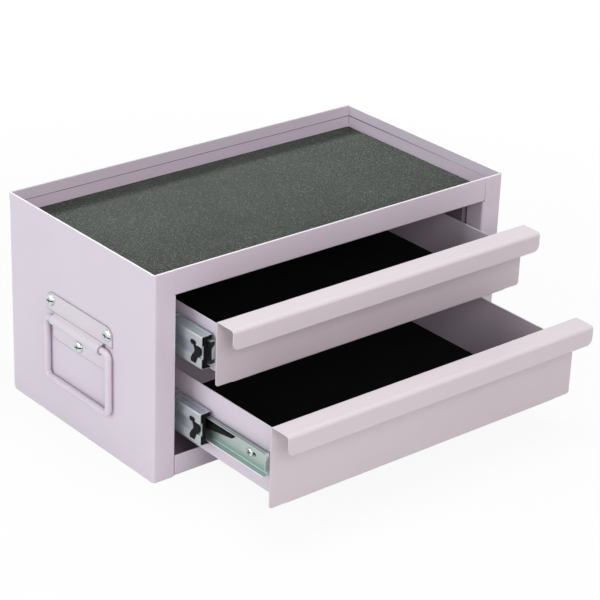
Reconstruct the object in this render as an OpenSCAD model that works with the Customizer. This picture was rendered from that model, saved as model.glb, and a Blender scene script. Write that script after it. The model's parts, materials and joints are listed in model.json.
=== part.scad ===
// Two-drawer steel tool chest with an open tray top.
// X runs to the right, Y to the back and Z up.
// The origin is the middle of the cabinet's underside.

/* [Cabinet] */
// Width over the side panels
cabinet_w = 506; // [440:1:620]
// Depth from the front columns to the back panel's hem
cabinet_d = 280; // [250:1:340]
// Thickness of the cabinet's sheet steel
sheet = 0.8; // [0.6:0.1:1.0]
// Width of the columns beside the drawers
column_w = 29; // [24:1:36]
// Depth of the flange that each column turns back beside the drawers
column_return = 26; // [12:1:28]
// Outer bend radius of the front corners
corner_r = 3.5; // [2.5:0.1:5]
// Outer bend radius of the column's inner edge
return_r = 2.5; // [1.5:0.1:3.5]
// Radius of the column's top inner corner
column_top_r = 7; // [3:0.5:12]
// Radius of the side panel's lower rear corner
rear_corner_r = 6; // [2:0.5:10]
// Height of the front rail above the drawers
rail_h = 30; // [24:1:45]
// Depth of the front rail's lower flange
rail_flange = 15; // [8:1:24]
// Height of the base rail below the drawers
base_rail_h = 25.5; // [16:0.5:40]
// Height of the rim's folded hem
hem_h = 13; // [8:0.5:15]
// Height of the hem outside the back panel
back_hem_h = 10; // [6:0.5:14]
// Gap between the hem and the tray's upstanding edge
hem_seam = 0.4; // [0.2:0.1:1]
// Width of the back panel's side flanges
back_flange = 14; // [8:1:18]
// Outer bend radius of the pans and the rail
pan_r = 1.5; // [1.2:0.1:2.5]
// Thickness of the ribbed mat in the tray
mat_t = 1.8; // [1:0.1:4]
// Room between the mat's edge and the tray's walls
mat_gap = 0.8; // [0.7:0.1:3]

/* [Uprights] */
// Width of the channel uprights that carry the slides
upright_w = 30; // [26:1:36]
// Thickness of an upright's steel
upright_t = 1; // [0.8:0.1:1.5]
// Width of the foot that joins an upright to the side panel
upright_foot = 10; // [6:1:10]
// How far an upright's face stands inboard of the column's edge
upright_inset = 4.8; // [2:0.1:8]
// Gap between the column's flange and the front upright
upright_gap = 3; // [1:0.5:6]
// Distance of the slide screws behind the front upright's front edge
upright_screw = 19; // [12:0.5:20]
// Distance of the rear upright's back from the back of the chest
upright_rear = 32; // [30:1:46]

/* [Drawers] */
// Height of the top drawer's front
top_front_h = 76.2; // [66:0.1:120]
// Height of the bottom drawer's front
bottom_front_h = 97.5; // [70:0.5:160]
// Thickness of the drawers' sheet steel
drawer_t = 1; // [0.7:0.1:1.2]
// Gap beside each drawer front
front_side_gap = 1.5; // [1:0.1:4]
// Gap above the top drawer's front
gap_top = 4.5; // [2:0.5:10]
// Gap between the two drawer fronts
gap_middle = 5.8; // [3:0.1:12]
// Gap below the bottom drawer's front
gap_base = 10.5; // [4:0.5:20]
// How far the folded pull stands out in front
pull_depth = 28; // [20:1:40]
// Height of the pull's front lip
pull_lip = 23; // [14:1:32]
// Outer bend radius along the pull's front
pull_r = 4.5; // [2:0.5:7]
// Outer bend radius along the pull's back
pull_back_r = 2.5; // [1.5:0.5:4]
// Radius of the lip's lower corners
lip_corner_r = 8; // [2:0.5:12]
// Radius of the front's lower corners
front_corner_r = 3.5; // [1:0.5:8]
// How far the drawer's walls stay below the front's top
wall_drop = 19.5; // [8:0.5:24]
// How far the drawer's floor lies below the front's lower edge
floor_drop = 1.3; // [0.5:0.1:2.5]
// Room behind a closed drawer
drawer_rear_room = 14; // [8:1:24]
// Outer bend radius of a drawer's lower edges
drawer_r = 2; // [1.4:0.1:3]
// Width of the outward flanges that join a drawer to its front
drawer_flange = 9; // [6:1:12]
// Thickness of a drawer's liner
liner_t = 2.5; // [1:0.5:5]
// Room between the liner's edge and the drawer's walls
liner_gap = 1.6; // [1.5:0.1:4]

/* [Slides] */
// Thickness of a slide from the upright to the drawer
slide_t = 18.2; // [17:0.1:22]
// Thickness of the slide's steel
slide_steel = 1.2; // [1.1:0.1:1.4]
// Height of the runner, the slide's middle member
runner_h = 39.7; // [37:0.1:44]
// Width of the runner's flanges
runner_flange = 13.6; // [12.8:0.1:14]
// Gap between the fixed member's web and the runner
runner_gap = 0.8; // [0.6:0.1:1.2]
// Height of the runner's two raised bands
band_h = 12; // [9:0.5:13]
// Depth of the channel between the raised bands
band_step = 1.8; // [1.8:0.1:2.6]
// Height of the drawer member
member_h = 29; // [27:0.1:31]
// Width of the drawer member's flanges
member_flange = 8; // [7.6:0.1:8.8]
// Width of the fixed member's flanges
fixed_flange = 13; // [11:0.1:13.5]
// Diameter of the balls between the fixed member and the runner
outer_ball_d = 3.175; // [2.4:0.005:3.6]
// Depth of the ball grooves
groove = 0.6; // [0.3:0.05:0.7]
// Running gap around each ball
ball_gap = 0.3; // [0.2:0.05:0.5]
// Length of a slide's ball cages
cage_len = 80; // [60:1:82]
// Thickness of a ball cage
cage_t = 0.8; // [0.5:0.1:0.9]
// Spacing of the balls
ball_pitch = 12; // [8:1:20]
// Distance of the fixed member's front end behind the columns' faces
slide_setback = 18; // [12:1:22]
// Distance of the closed runner's front end behind the fixed member's
runner_setback = 4; // [2:0.5:8]
// Distance of the closed drawer member's front end behind the runner's
member_setback = 6; // [4:0.5:10]
// How far the fixed member's rear end stays ahead of the back panel's hem
slide_rear_room = 14; // [8:1:24]
// How far the slide lies below the middle of the drawer's walls
slide_drop = 3.8; // [0:0.1:8]
// Diameter of the slide screws' shanks
slide_screw_d = 4; // [3:0.1:4.5]
// Diameter of the heads of the fixed members' screws
slide_head_d = 8.5; // [6:0.1:10]
// Height of the heads of the fixed members' screws
slide_head_h = 1.6; // [1.3:0.1:2]
// Diameter of the heads of the drawers' screws
drawer_head_d = 10.4; // [6:0.1:12]
// Height of the heads of the drawers' screws
drawer_head_h = 2.2; // [1.3:0.1:3]
// Distance of the drawer member's screws from its ends
member_screw_inset = 31; // [20:1:44]
// Length of the slide screws' crossed slots
slide_cross = 4.2; // [2:0.1:5]
// Height of the tab at the drawer member's front end
tab_h = 16; // [10:0.5:20]
// Chamfer of the end tab's upper corner
tab_chamfer = 3.4; // [1:0.1:4]
// Length of the open slot in front of a drawer's front screw
screw_slot = 7.5; // [0:0.5:9]

/* [Retainers and levers] */
// Depth of the plastic retainer in the runner's mouth
retainer_depth = 16; // [14:1:18]
// Depth of the retainer's arms beside the drawer member
arm_depth = 4; // [2:0.5:6]
// Thickness of the retainer's bar behind the drawer member
retainer_t = 4.2; // [3:0.1:4.4]
// Radius of the rounds of the lug's bulb
bulb_r = 2.8; // [2:0.1:3.4]
// Distance between the two rounds of the bulb
bulb_len = 3.8; // [2:0.1:6]
// Height of the bulb over the slide's middle
bulb_up = 8.5; // [7:0.1:10]
// Setback of the bulb behind the runner's front end
bulb_back = 14.3; // [12:0.1:16]
// Radius of the lug's belly
belly_r = 6; // [5:0.1:6.5]
// Setback of the belly's centre
belly_back = 7.5; // [7:0.1:9]
// Radius of the hollow at the back of the belly
hollow_r = 5.6; // [4:0.1:6]
// Setback of the hollow's centre
hollow_back = 17.5; // [17:0.1:20]
// Setback of the front of the lug's foot
foot_front = 9.6; // [8:0.1:12]
// Setback of the back of the lug's foot
foot_back = 18; // [16:0.1:20]
// Drop of the foot under the slide's middle
foot_down = 15; // [12:0.1:16]
// Height of the foot
foot_h = 4.5; // [3:0.1:6]
// Radius of the stem that passes through the runner
stem_r = 3.6; // [2.5:0.1:4]
// How far the lug stands proud of the raised bands
lug_proud = 0.4; // [0.2:0.1:0.5]
// Running gap around the retainer
retainer_gap = 0.15; // [0.1:0.05:0.25]
// Length of a release lever from its pivot to its tip
lever_len = 58; // [40:1:70]
// Distance of the lever's pivot behind the drawer member's front end
lever_back = 118; // [112:1:140]
// Thickness of a lever
lever_t = 3.2; // [2:0.1:3.4]
// Radius of the lever's round end at the pivot
lever_r = 5; // [4:0.1:6]
// Radius of the lever's tip
lever_tip_r = 1.6; // [1:0.1:2.5]
// Height of the lever's pivot above the slide's middle
lever_rise = 1; // [0:0.1:2]
// Height of the lever's tip above its pivot
lever_slope = 5; // [0:0.5:6]
// Diameter of the lever's pivot stud
stud_d = 4; // [3:0.1:5]
// Running gap around the pivot stud
stud_gap = 0.06; // [0.02:0.01:0.1]
// Gap beside the lever
lever_gap = 0.15; // [0.1:0.05:0.3]
// Diameter of the stud's riveted head
stud_head_d = 6.5; // [5.5:0.1:8]
// Height of the stud's riveted head
stud_head_h = 0.8; // [0.5:0.1:1]

/* [Handles] */
// Height of the bail's turning axis above the ground
handle_z = 127; // [112:0.1:150]
// Diameter of the bail's wire
wire_d = 8; // [6:0.1:9]
// Distance between the middles of the bail's legs
bail_w = 121; // [116:0.5:140]
// Distance of the bail's lower bar below its axis
bail_drop = 74.8; // [50:0.1:90]
// Bend radius of the bail at the middle of its wire
bail_r = 7.2; // [7:0.1:9]
// Running gap around the bail's upper bar
bail_gap = 0.35; // [0.3:0.01:0.6]
// Thickness of the handle plate
plate_t = 1.5; // [1:0.1:2]
// How far the plate's ends stay inside the bail's outer sides
plate_inset = 0.5; // [0:0.1:4]
// Distance of the plate's top edge above the upper screws
plate_edge = 9.7; // [6.5:0.1:14]
// Radius of the plate's upper corners
plate_corner_r = 11; // [4:0.5:12]
// Slope of the ridge's upper side against the level, in degrees
shoulder_a = 20; // [10:1:30]
// Bend radius where the plate turns in under the bail
plate_bend_r = 1.5; // [0.5:0.1:2]
// Gap between the end of the plate's half-round ridge and the bail's bends
ridge_gap = 5.3; // [1:0.1:8]
// How far the plate's lower flange runs past the ridge's ends
flange_lap = 5; // [1:0.5:6]
// Distance of the lower flange's edge below the lower screw
flange_edge = 9.4; // [7.5:0.1:18]
// Radius of the lower flange's corners
flange_corner_r = 6; // [2:0.5:8]
// Distance of the upper screws from the plate's ends
screw_edge = 8.4; // [7.6:0.1:14]
// Gap between the ridge's upper bend and the upper screws' heads
upper_screw_gap = 6.15; // [1:0.05:12]
// Gap between the ridge's lower bend and the lower screw's head
lower_screw_gap = 1.55; // [0.5:0.05:6]
// Diameter of the handle screws' shanks
screw_d = 6; // [4:0.1:7]
// Gap around a screw's shank in its hole
hole_gap = 0.2; // [0.1:0.05:0.5]
// Diameter of the handle screws' heads
head_d = 14.2; // [12:0.1:16]
// Height of the handle screws' heads
head_h = 3.7; // [2.5:0.1:4.5]
// Width of the screws' driving slots
slot_w = 1.5; // [0.8:0.1:2]
// Depth of the screws' driving slots
slot_depth = 1; // [0.5:0.1:1.2]
// Length of the handle screws' short cross slot
cross_len = 7.4; // [4:0.1:10]
// Turn of the handle screws' slots
slot_turn = 20; // [0:1:90]
// Thickness of the nuts inside the chest
nut_t = 5; // [4:0.1:6]
// Diameter of a nut over its corners
nut_d = 11; // [9.5:0.1:12.5]
// Length of the screw that stands past its nut
screw_past = 1; // [0.5:0.1:3]

/* [Position] */
// How far the slides' runners are drawn out of the cabinet
runner_out = 57.5; // [40:0.5:66]
// How far the top drawer is open
top_out = 68.4; // [66:0.1:160]
// How far the bottom drawer is open
bottom_out = 162.9; // [70:0.1:165]

/* [Hidden] */
$fn = 64;
lilac = [0.83, 0.78, 0.84];
mat_grey = [0.30, 0.34, 0.32];
black = [0.06, 0.06, 0.07];
zinc = [0.72, 0.76, 0.76];
steel = [0.85, 0.87, 0.88];
// How far a cutting shape runs past the face it cuts
cut = 0.5;
// Gap between sheets that touch
touch_gap = 0.1;
// Share of a round's radius that a straight edge beside it reaches
flank = 0.98;
bulb_lean = 0.7;

half_w = cabinet_w / 2;
front_y = -cabinet_d / 2;
back_y = cabinet_d / 2;
wall_x = half_w - sheet;
rail_x = half_w - corner_r - touch_gap;
opening_x = half_w - column_w;
upright_x = opening_x - upright_inset;
drawer_x = upright_x - slide_t;
front_x = opening_x - front_side_gap;
rail_y = front_y + sheet;
back_in_y = back_y - 2 * sheet;
floor_z = sheet;

bottom_front_z = base_rail_h + gap_base;
bottom_front_top = bottom_front_z + bottom_front_h;
top_front_z = bottom_front_top + gap_middle;
top_front_top = top_front_z + top_front_h;
opening_top = top_front_top + gap_top;
cabinet_h = opening_top + rail_h;
tray_z = opening_top + sheet;
tray_wall_top = cabinet_h - hem_h - hem_seam;

function body_z(top) = (top ? top_front_z : bottom_front_z) - floor_drop;
function body_top(top) = (top ? top_front_top : bottom_front_top) - wall_drop;
function slide_z(top) = (body_z(top) + body_top(top)) / 2 - slide_drop;
function drawer_out(top) = top ? top_out : bottom_out;
function inner_cage_out(top) = (runner_out + drawer_out(top)) / 2;

slide_y = front_y + slide_setback;
slide_end = back_y - slide_rear_room;
runner_y = slide_y + runner_setback;
runner_end = slide_end - runner_setback;
member_y = runner_y + member_setback;
drawer_end = back_y - drawer_rear_room;

front_upright_y = front_y + column_return + upright_gap;
rear_upright_y = back_y - upright_rear - upright_w;
fixed_screw_ys = [front_upright_y + upright_screw, rear_upright_y + upright_w / 2];
member_screw_ys = [member_y + member_screw_inset, slide_end - member_screw_inset];

slide_r = 2 * slide_steel;
band_u = slide_steel + runner_gap;
web_u = band_u + band_step;
runner_in = web_u + slide_steel;
runner_half = runner_h / 2;
member_half = member_h / 2;
member_web_u = slide_t - slide_steel;
member_tip_u = slide_t - member_flange;
outer_groove_r = outer_ball_d / 2 + ball_gap;
outer_ball_v = runner_half - groove + outer_groove_r;
fixed_in = outer_ball_v + outer_groove_r - groove;
fixed_half = fixed_in + slide_steel;
outer_ball_u = band_u + runner_flange / 2;
inner_room = runner_half - slide_steel - member_half + 2 * groove;
inner_groove_r = inner_room / 2;
inner_ball_r = inner_groove_r - ball_gap;
inner_ball_v = member_half - groove + inner_groove_r;
inner_ball_u = (member_tip_u + band_u + runner_flange) / 2;
outer_cage_y = (runner_y + runner_end - runner_out - cage_len) / 2;
inner_cage_y = (member_y + slide_end - cage_len) / 2;
ball_count = floor((cage_len - ball_pitch / 2) / ball_pitch) + 1;
ball_start = (cage_len - (ball_count - 1) * ball_pitch) / 2;
ball_steps = [for (i = [0:ball_count - 1]) ball_start + i * ball_pitch];

lever_pivot_y = member_y + lever_back;
lever_tip_y = lever_pivot_y - lever_len;
lever_u = member_web_u - lever_gap - lever_t;
head_gap_u = lever_u - lever_gap - stud_head_h;

bail_x = half_w + bail_gap + wire_d / 2;
ridge_in_r = wire_d / 2 + bail_gap;
ridge_out_r = ridge_in_r + plate_t;
ridge_foot = ridge_out_r + plate_bend_r;
shoulder_top = (ridge_out_r + (bail_x - half_w - plate_t) * sin(shoulder_a)) / cos(shoulder_a);
shoulder_low = (ridge_in_r + (bail_x - half_w) * sin(shoulder_a)) / cos(shoulder_a);
plate_w = bail_w + wire_d - 2 * plate_inset;
ridge_w = bail_w - 2 * bail_r - 2 * ridge_gap;
flange_w = ridge_w + 2 * flange_lap;
screw_y = plate_w / 2 - screw_edge;
screw_up = ridge_foot + upper_screw_gap + head_d / 2;
screw_down = ridge_foot + lower_screw_gap + head_d / 2;
plate_screws = [[-screw_y, screw_up], [screw_y, screw_up], [0, -screw_down]];
screw_len = plate_t + sheet + nut_t + screw_past;
screw_hole_d = screw_d + 2 * hole_gap;
slide_hole_d = slide_screw_d + 2 * hole_gap;

// Extrudes an X-Z outline along Y
module along_y(y0, y1) {
    translate([0, y1, 0])
        rotate([90, 0, 0])
            linear_extrude(y1 - y0)
                children();
}

// Extrudes a Y-Z outline along X
module along_x(x0, x1) {
    translate([x0, 0, 0])
        rotate([90, 0, 90])
            linear_extrude(x1 - x0)
                children();
}

// Extrudes an X-Y outline along Z
module along_z(z0, z1) {
    translate([0, 0, z0])
        linear_extrude(z1 - z0)
            children();
}

// A box between two corners
module block(low, high) {
    translate(low)
        cube(high - low);
}

// A rectangle between two corners
module area(low, high) {
    translate(low)
        square(high - low);
}

// Quarter of a sheet bend with its middle at the origin, turned by whole quarters
module bend(radius, t, quarter) {
    rotate(90 * quarter)
        intersection() {
            difference() {
                circle(radius);
                circle(radius - t);
            }
            square(radius);
        }
}

// Quarter of a disc with its middle at the origin, turned by whole quarters
module quarter_disc(radius, quarter) {
    rotate(90 * quarter)
        intersection() {
            circle(radius);
            square(radius);
        }
}

// The waste outside a rounded corner whose arc has its middle at the origin
module corner_waste(radius, quarter) {
    rotate(90 * quarter)
        difference() {
            square(radius + cut);
            circle(radius);
        }
}

// A rectangle with a radius on each corner: lower left, lower right, upper right, upper left
module rounded_area(low, high, radii) {
    corners = [low, [high[0], low[1]], high, [low[0], high[1]]];
    inward = [[1, 1], [-1, 1], [-1, -1], [1, -1]];
    difference() {
        area(low, high);
        for (i = [0:3])
            if (radii[i] > 0)
                translate([corners[i][0] + inward[i][0] * radii[i], corners[i][1] + inward[i][1] * radii[i]])
                    corner_waste(radii[i], i + 2);
    }
}

// The upturned edge of a pan: its outer face is at 0 and its underside at 0
module pan_edge(height) {
    translate([pan_r, pan_r])
        bend(pan_r, sheet, 2);
    area([0, pan_r], [sheet, height]);
    area([pan_r, 0], [pan_r + sheet, sheet]);
}

// Puts a left-hand piece on the left or, mirrored, on the right
module on_side(side) {
    mirror([side > 0 ? 1 : 0, 0, 0])
        children();
}

// Places slide pieces: X grows from the upright to the drawer, Z is 0 at the slide's middle
module on_slide(side, top, out) {
    translate([0, -out, slide_z(top)])
        rotate([0, side > 0 ? 180 : 0, 0])
            translate([-upright_x, 0, 0])
                children();
}

// A cylinder along X from x0 to x1 at the given Y and Z
module x_cylinder(x0, x1, d, y, z) {
    translate([x0, y, z])
        rotate([0, 90, 0])
            cylinder(h = x1 - x0, d = d);
}

// Plan of the bend between the left side wall and its column
module corner_bend() {
    translate([-half_w + corner_r, front_y + corner_r])
        bend(corner_r, sheet, 2);
}

// Plan of the left column's flat face
module column_strip() {
    area([-half_w + corner_r, front_y], [-opening_x - return_r, rail_y]);
}

// Side wall with its rim hem, front column and column return
module side_panel(side) {
    color(lilac) on_side(side) difference() {
        union() {
            along_z(0, cabinet_h - sheet) {
                area([-half_w, front_y + corner_r], [-wall_x, back_y - sheet]);
                corner_bend();
            }
            along_y(front_y + corner_r, back_y - sheet) {
                area([-half_w, 0], [-wall_x, cabinet_h - sheet]);
                translate([-wall_x, cabinet_h - sheet])
                    quarter_disc(sheet, 1);
            }
            along_y(front_y + corner_r, back_in_y) {
                area([-half_w, cabinet_h - hem_h], [-wall_x + sheet, cabinet_h - sheet]);
                for (quarter = [0, 1])
                    translate([-wall_x, cabinet_h - sheet])
                        quarter_disc(sheet, quarter);
            }
            along_z(0, cabinet_h)
                corner_bend();
            along_z(0, opening_top) {
                corner_bend();
                column_strip();
            }
            along_y(front_y, rail_y)
                rounded_area([-half_w + corner_r, 0], [-opening_x - return_r, cabinet_h],
                             [0, 0, column_top_r, 0]);
            along_z(floor_z + touch_gap, opening_top - hem_seam) {
                column_strip();
                translate([-opening_x - return_r, front_y + return_r])
                    bend(return_r, sheet, 3);
                area([-opening_x - sheet, front_y + return_r], [-opening_x, front_y + column_return]);
            }
        }
        along_x(-half_w - cut, -wall_x + cut)
            translate([back_y - sheet - rear_corner_r, rear_corner_r])
                corner_waste(rear_corner_r, 3);
        for (s = plate_screws)
            x_cylinder(-half_w - cut, -wall_x + cut, screw_hole_d, s[0], handle_z + s[1]);
    }
}

// Back panel with its outside hem and its two forward flanges
module back_panel() {
    color(lilac) {
        along_x(-wall_x, wall_x) {
            area([back_in_y, 0], [back_y - sheet, cabinet_h - sheet]);
            translate([back_y - sheet, cabinet_h - sheet])
                quarter_disc(sheet, 1);
        }
        along_x(-wall_x, wall_x)
            area([back_in_y, cabinet_h - back_hem_h], [back_y, cabinet_h - sheet]);
        along_x(-half_w, half_w) {
            area([back_y - sheet, cabinet_h - back_hem_h], [back_y, cabinet_h - sheet]);
            translate([back_y - sheet, cabinet_h - sheet])
                quarter_disc(sheet, 0);
        }
        for (side = [-1, 1])
            on_side(side)
                block([-wall_x, back_in_y - back_flange, base_rail_h + touch_gap],
                      [-wall_x + sheet, back_y - sheet, opening_top - touch_gap]);
    }
}

// Floor of the cabinet, turned up all round, with the base rail at the front
module base_pan() {
    color(lilac) {
        along_z(0, sheet)
            rounded_area([-wall_x + pan_r, rail_y + pan_r], [wall_x - pan_r, back_in_y - pan_r],
                         [corner_r, corner_r, 0, 0]);
        along_x(-opening_x + touch_gap, opening_x - touch_gap)
            translate([rail_y, 0])
                pan_edge(base_rail_h);
        along_x(-wall_x + back_flange, wall_x - back_flange)
            translate([back_in_y, 0])
                mirror([1, 0])
                    pan_edge(base_rail_h);
        for (side = [-1, 1])
            on_side(side)
                along_y(front_upright_y, back_in_y - pan_r)
                    translate([-wall_x, 0])
                        pan_edge(base_rail_h);
    }
}

// Rail across the front, hemmed at the rim and turned back under the tray
module front_rail() {
    color(lilac) along_x(-rail_x, rail_x) {
        translate([rail_y + pan_r, opening_top + pan_r])
            bend(pan_r, sheet, 2);
        area([rail_y, opening_top + pan_r], [rail_y + sheet, cabinet_h - sheet]);
        area([rail_y + pan_r, opening_top], [rail_y + rail_flange, tray_z]);
        area([rail_y + sheet, cabinet_h - hem_h], [rail_y + 2 * sheet, cabinet_h - sheet]);
        for (quarter = [0, 1])
            translate([rail_y + sheet, cabinet_h - sheet])
                quarter_disc(sheet, quarter);
    }
}

// Shallow pan that closes the cabinet below the rim
module tray_pan() {
    edge_h = tray_wall_top - tray_z;
    color(lilac) translate([0, 0, tray_z]) {
        along_z(0, sheet)
            area([-wall_x + pan_r, rail_y + sheet + pan_r], [wall_x - pan_r, back_in_y - pan_r]);
        along_x(-rail_x, rail_x)
            translate([rail_y + sheet, 0])
                pan_edge(edge_h);
        along_x(-wall_x + sheet + hem_seam, wall_x - sheet - hem_seam)
            translate([back_in_y, 0])
                mirror([1, 0])
                    pan_edge(edge_h);
        for (side = [-1, 1])
            on_side(side)
                along_y(front_y + corner_r, back_in_y - hem_seam)
                    translate([-wall_x, 0])
                        pan_edge(edge_h);
    }
}

// Ribbed mat that lies in the tray
module tray_mat() {
    inset = sheet + mat_gap;
    color(mat_grey)
        block([-wall_x + inset, rail_y + sheet + inset, tray_z + sheet],
              [wall_x - inset, back_in_y - inset, tray_z + sheet + mat_t]);
}

// Channel upright between the base pan and the tray, with a foot on its front or rear leg
module upright(side, y0, at_rear) {
    foot_y = at_rear ? y0 + upright_w - upright_t : y0 - upright_foot;
    leg_x = wall_x - sheet - touch_gap;
    color(lilac) on_side(side) difference() {
        union() {
            along_z(floor_z, tray_z) {
                area([-upright_x - upright_t, y0], [-upright_x, y0 + upright_w]);
                for (y = [y0, y0 + upright_w - upright_t])
                    area([-leg_x, y], [-upright_x - upright_t, y + upright_t]);
            }
            along_z(base_rail_h + touch_gap, opening_top - touch_gap) {
                for (y = [y0, y0 + upright_w - upright_t])
                    area([-wall_x, y], [-upright_x - upright_t, y + upright_t]);
                area([-wall_x, foot_y], [-wall_x + upright_t, foot_y + upright_foot + upright_t]);
            }
        }
        for (y = fixed_screw_ys, top = [true, false])
            x_cylinder(-upright_x - upright_t - cut, -upright_x + cut, slide_hole_d, y, slide_z(top));
    }
}

// Circles that cut one pair of ball grooves
module groove_pair(u, v, r) {
    for (s = [-1, 1])
        translate([u, s * v])
            circle(r);
}

// Fixed member of a slide, screwed to the uprights
module fixed_slide(side, top) {
    color(zinc) on_slide(side, top, 0) difference() {
        along_y(slide_y, slide_end) difference() {
            union() {
                area([0, -fixed_half + slide_r], [slide_steel, fixed_half - slide_r]);
                for (s = [0, 1])
                    mirror([0, s]) {
                        translate([slide_r, fixed_half - slide_r])
                            bend(slide_r, slide_steel, 1);
                        area([slide_r, fixed_in], [fixed_flange, fixed_half]);
                    }
            }
            groove_pair(outer_ball_u, outer_ball_v, outer_groove_r);
        }
        for (y = fixed_screw_ys)
            x_cylinder(-cut, slide_steel + cut, slide_hole_d, y, 0);
    }
}

// Low-headed screw along X: its head stands towards +X and its shank towards -X
module slide_screw(shank, width, height) {
    rotate([0, 90, 0]) difference() {
        union() {
            cylinder(h = height, d = width);
            translate([0, 0, -shank])
                cylinder(h = shank + height - slot_depth, d = slide_screw_d);
        }
        for (a = [0, 90])
            rotate(a)
                translate([-slide_cross / 2, -slot_w / 2, height - slot_depth])
                    cube([slide_cross, slot_w, slot_depth + cut]);
    }
}

// Screws of the four fixed members
module fixed_slide_screws() {
    color(steel)
        for (side = [-1, 1], top = [true, false])
            on_slide(side, top, 0)
                for (y = fixed_screw_ys)
                    translate([slide_steel, y, 0])
                        slide_screw(slide_steel + upright_t + screw_past, slide_head_d, slide_head_h);
}

// Outline of the runner with its raised bands and four ball grooves
module runner_profile() {
    tip = band_u + runner_flange;
    step = runner_half - band_h;
    difference() {
        union() {
            area([web_u, -step], [runner_in, step]);
            for (s = [0, 1])
                mirror([0, s]) {
                    area([band_u, step - slide_steel], [runner_in, step]);
                    area([band_u, step], [band_u + slide_steel, runner_half - slide_r]);
                    translate([band_u + slide_r, runner_half - slide_r])
                        bend(slide_r, slide_steel, 1);
                    area([band_u + slide_r, runner_half - slide_steel], [tip, runner_half]);
                }
        }
        groove_pair(outer_ball_u, outer_ball_v, outer_groove_r);
        groove_pair(inner_ball_u, inner_ball_v, inner_groove_r);
    }
}

// Cap of the retainer's lug in side view: a bulb above, a belly to the front, a square foot below
module lug_cap() {
    bulb_front = bulb_back - bulb_len / 2;
    bulb_low = bulb_up - bulb_r * bulb_lean;
    hollow_front = hollow_back - hollow_r;
    translate([runner_y, 0]) {
        for (y = [bulb_front, bulb_front + bulb_len])
            translate([y, bulb_up])
                circle(bulb_r);
        area([bulb_front, bulb_up - bulb_r], [bulb_front + bulb_len, bulb_up + bulb_r]);
        difference() {
            union() {
                translate([belly_back, 0])
                    circle(belly_r);
                polygon([
                    [bulb_front - bulb_r * bulb_lean, bulb_low],
                    [belly_back, belly_r * flank],
                    [hollow_front, 0],
                    [bulb_back, bulb_low]
                ]);
                polygon([
                    [belly_back - belly_r / 2, -belly_r / 2],
                    [foot_front, -foot_down],
                    [foot_back, -foot_down],
                    [foot_back, -foot_down + foot_h],
                    [hollow_front, 0]
                ]);
            }
            translate([hollow_back, 0])
                circle(hollow_r);
        }
    }
}

// Round stem that joins the lug's cap to the retainer, in side view
module lug_stem(gap) {
    translate([runner_y + belly_back, 0])
        circle(stem_r + gap);
}

// Middle member of a slide, with the hole for its retainer's stem
module runner(side, top) {
    color(zinc) on_slide(side, top, runner_out) difference() {
        along_y(runner_y, runner_end)
            runner_profile();
        along_x(band_u - cut, runner_in + cut)
            lug_stem(retainer_gap);
    }
}

// Black plastic retainer that lines the runner's mouth and hooks through its web
module retainer(side, top) {
    back_u = runner_in + retainer_gap;
    front_u = back_u + retainer_t;
    arm_in = member_half + ball_gap;
    arm_out = runner_half - slide_steel - retainer_gap;
    arm_tip = band_u + runner_flange - retainer_gap;
    recess_half = runner_half - band_h - slide_steel - retainer_gap;
    color(black) on_slide(side, top, runner_out) {
        along_x(band_u - lug_proud, band_u - retainer_gap)
            lug_cap();
        along_x(band_u - lug_proud, web_u - retainer_gap)
            intersection() {
                lug_cap();
                area([runner_y, -recess_half], [runner_end, recess_half]);
            }
        along_x(band_u - lug_proud, back_u + retainer_gap)
            lug_stem(0);
        block([back_u, runner_y, -arm_in], [front_u, runner_y + retainer_depth, arm_in]);
        along_y(runner_y - lug_proud, runner_y + arm_depth)
            for (s = [0, 1])
                mirror([0, s]) {
                    area([back_u, arm_in], [arm_tip, arm_out]);
                    area([back_u, 0], [front_u, arm_out]);
                }
    }
}

// Ball strips between the fixed members and the runners of one drawer
module outer_cages(top) {
    width = 2 * outer_ball_d + cage_t;
    color(zinc)
        for (side = [-1, 1], s = [-1, 1])
            on_slide(side, top, 0)
                difference() {
                    block([outer_ball_u - width / 2, outer_cage_y, s * outer_ball_v - cage_t / 2],
                          [outer_ball_u + width / 2, outer_cage_y + cage_len, s * outer_ball_v + cage_t / 2]);
                    for (along = ball_steps)
                        translate([outer_ball_u, outer_cage_y + along, s * outer_ball_v])
                            cylinder(h = 2 * cage_t, d = outer_ball_d + ball_gap, center = true);
                }
}

// Balls in the outer strips of one drawer
module outer_balls(top) {
    color(steel)
        for (side = [-1, 1], s = [-1, 1])
            on_slide(side, top, 0)
                for (along = ball_steps)
                    translate([outer_ball_u, outer_cage_y + along, s * outer_ball_v])
                        sphere(d = outer_ball_d);
}

// Channel-shaped ball cages between the runners and the drawer members
module inner_cages(top) {
    half = inner_ball_r + cage_t;
    web = runner_in + retainer_gap;
    y0 = inner_cage_y;
    color(zinc)
        for (side = [-1, 1])
            on_slide(side, top, inner_cage_out(top)) {
                block([web, y0, -inner_ball_v - cage_t / 2],
                      [web + cage_t, y0 + cage_len, inner_ball_v + cage_t / 2]);
                for (s = [-1, 1])
                    difference() {
                        block([web, y0, s * inner_ball_v - cage_t / 2],
                              [inner_ball_u + half, y0 + cage_len, s * inner_ball_v + cage_t / 2]);
                        for (along = ball_steps)
                            translate([inner_ball_u, y0 + along, s * inner_ball_v])
                                cylinder(h = 2 * cage_t, r = inner_ball_r + ball_gap / 2, center = true);
                    }
            }
}

// Balls in the inner cages of one drawer
module inner_balls(top) {
    color(steel)
        for (side = [-1, 1], s = [-1, 1])
            on_slide(side, top, inner_cage_out(top))
                for (along = ball_steps)
                    translate([inner_ball_u, inner_cage_y + along, s * inner_ball_v])
                        sphere(r = inner_ball_r);
}

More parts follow.
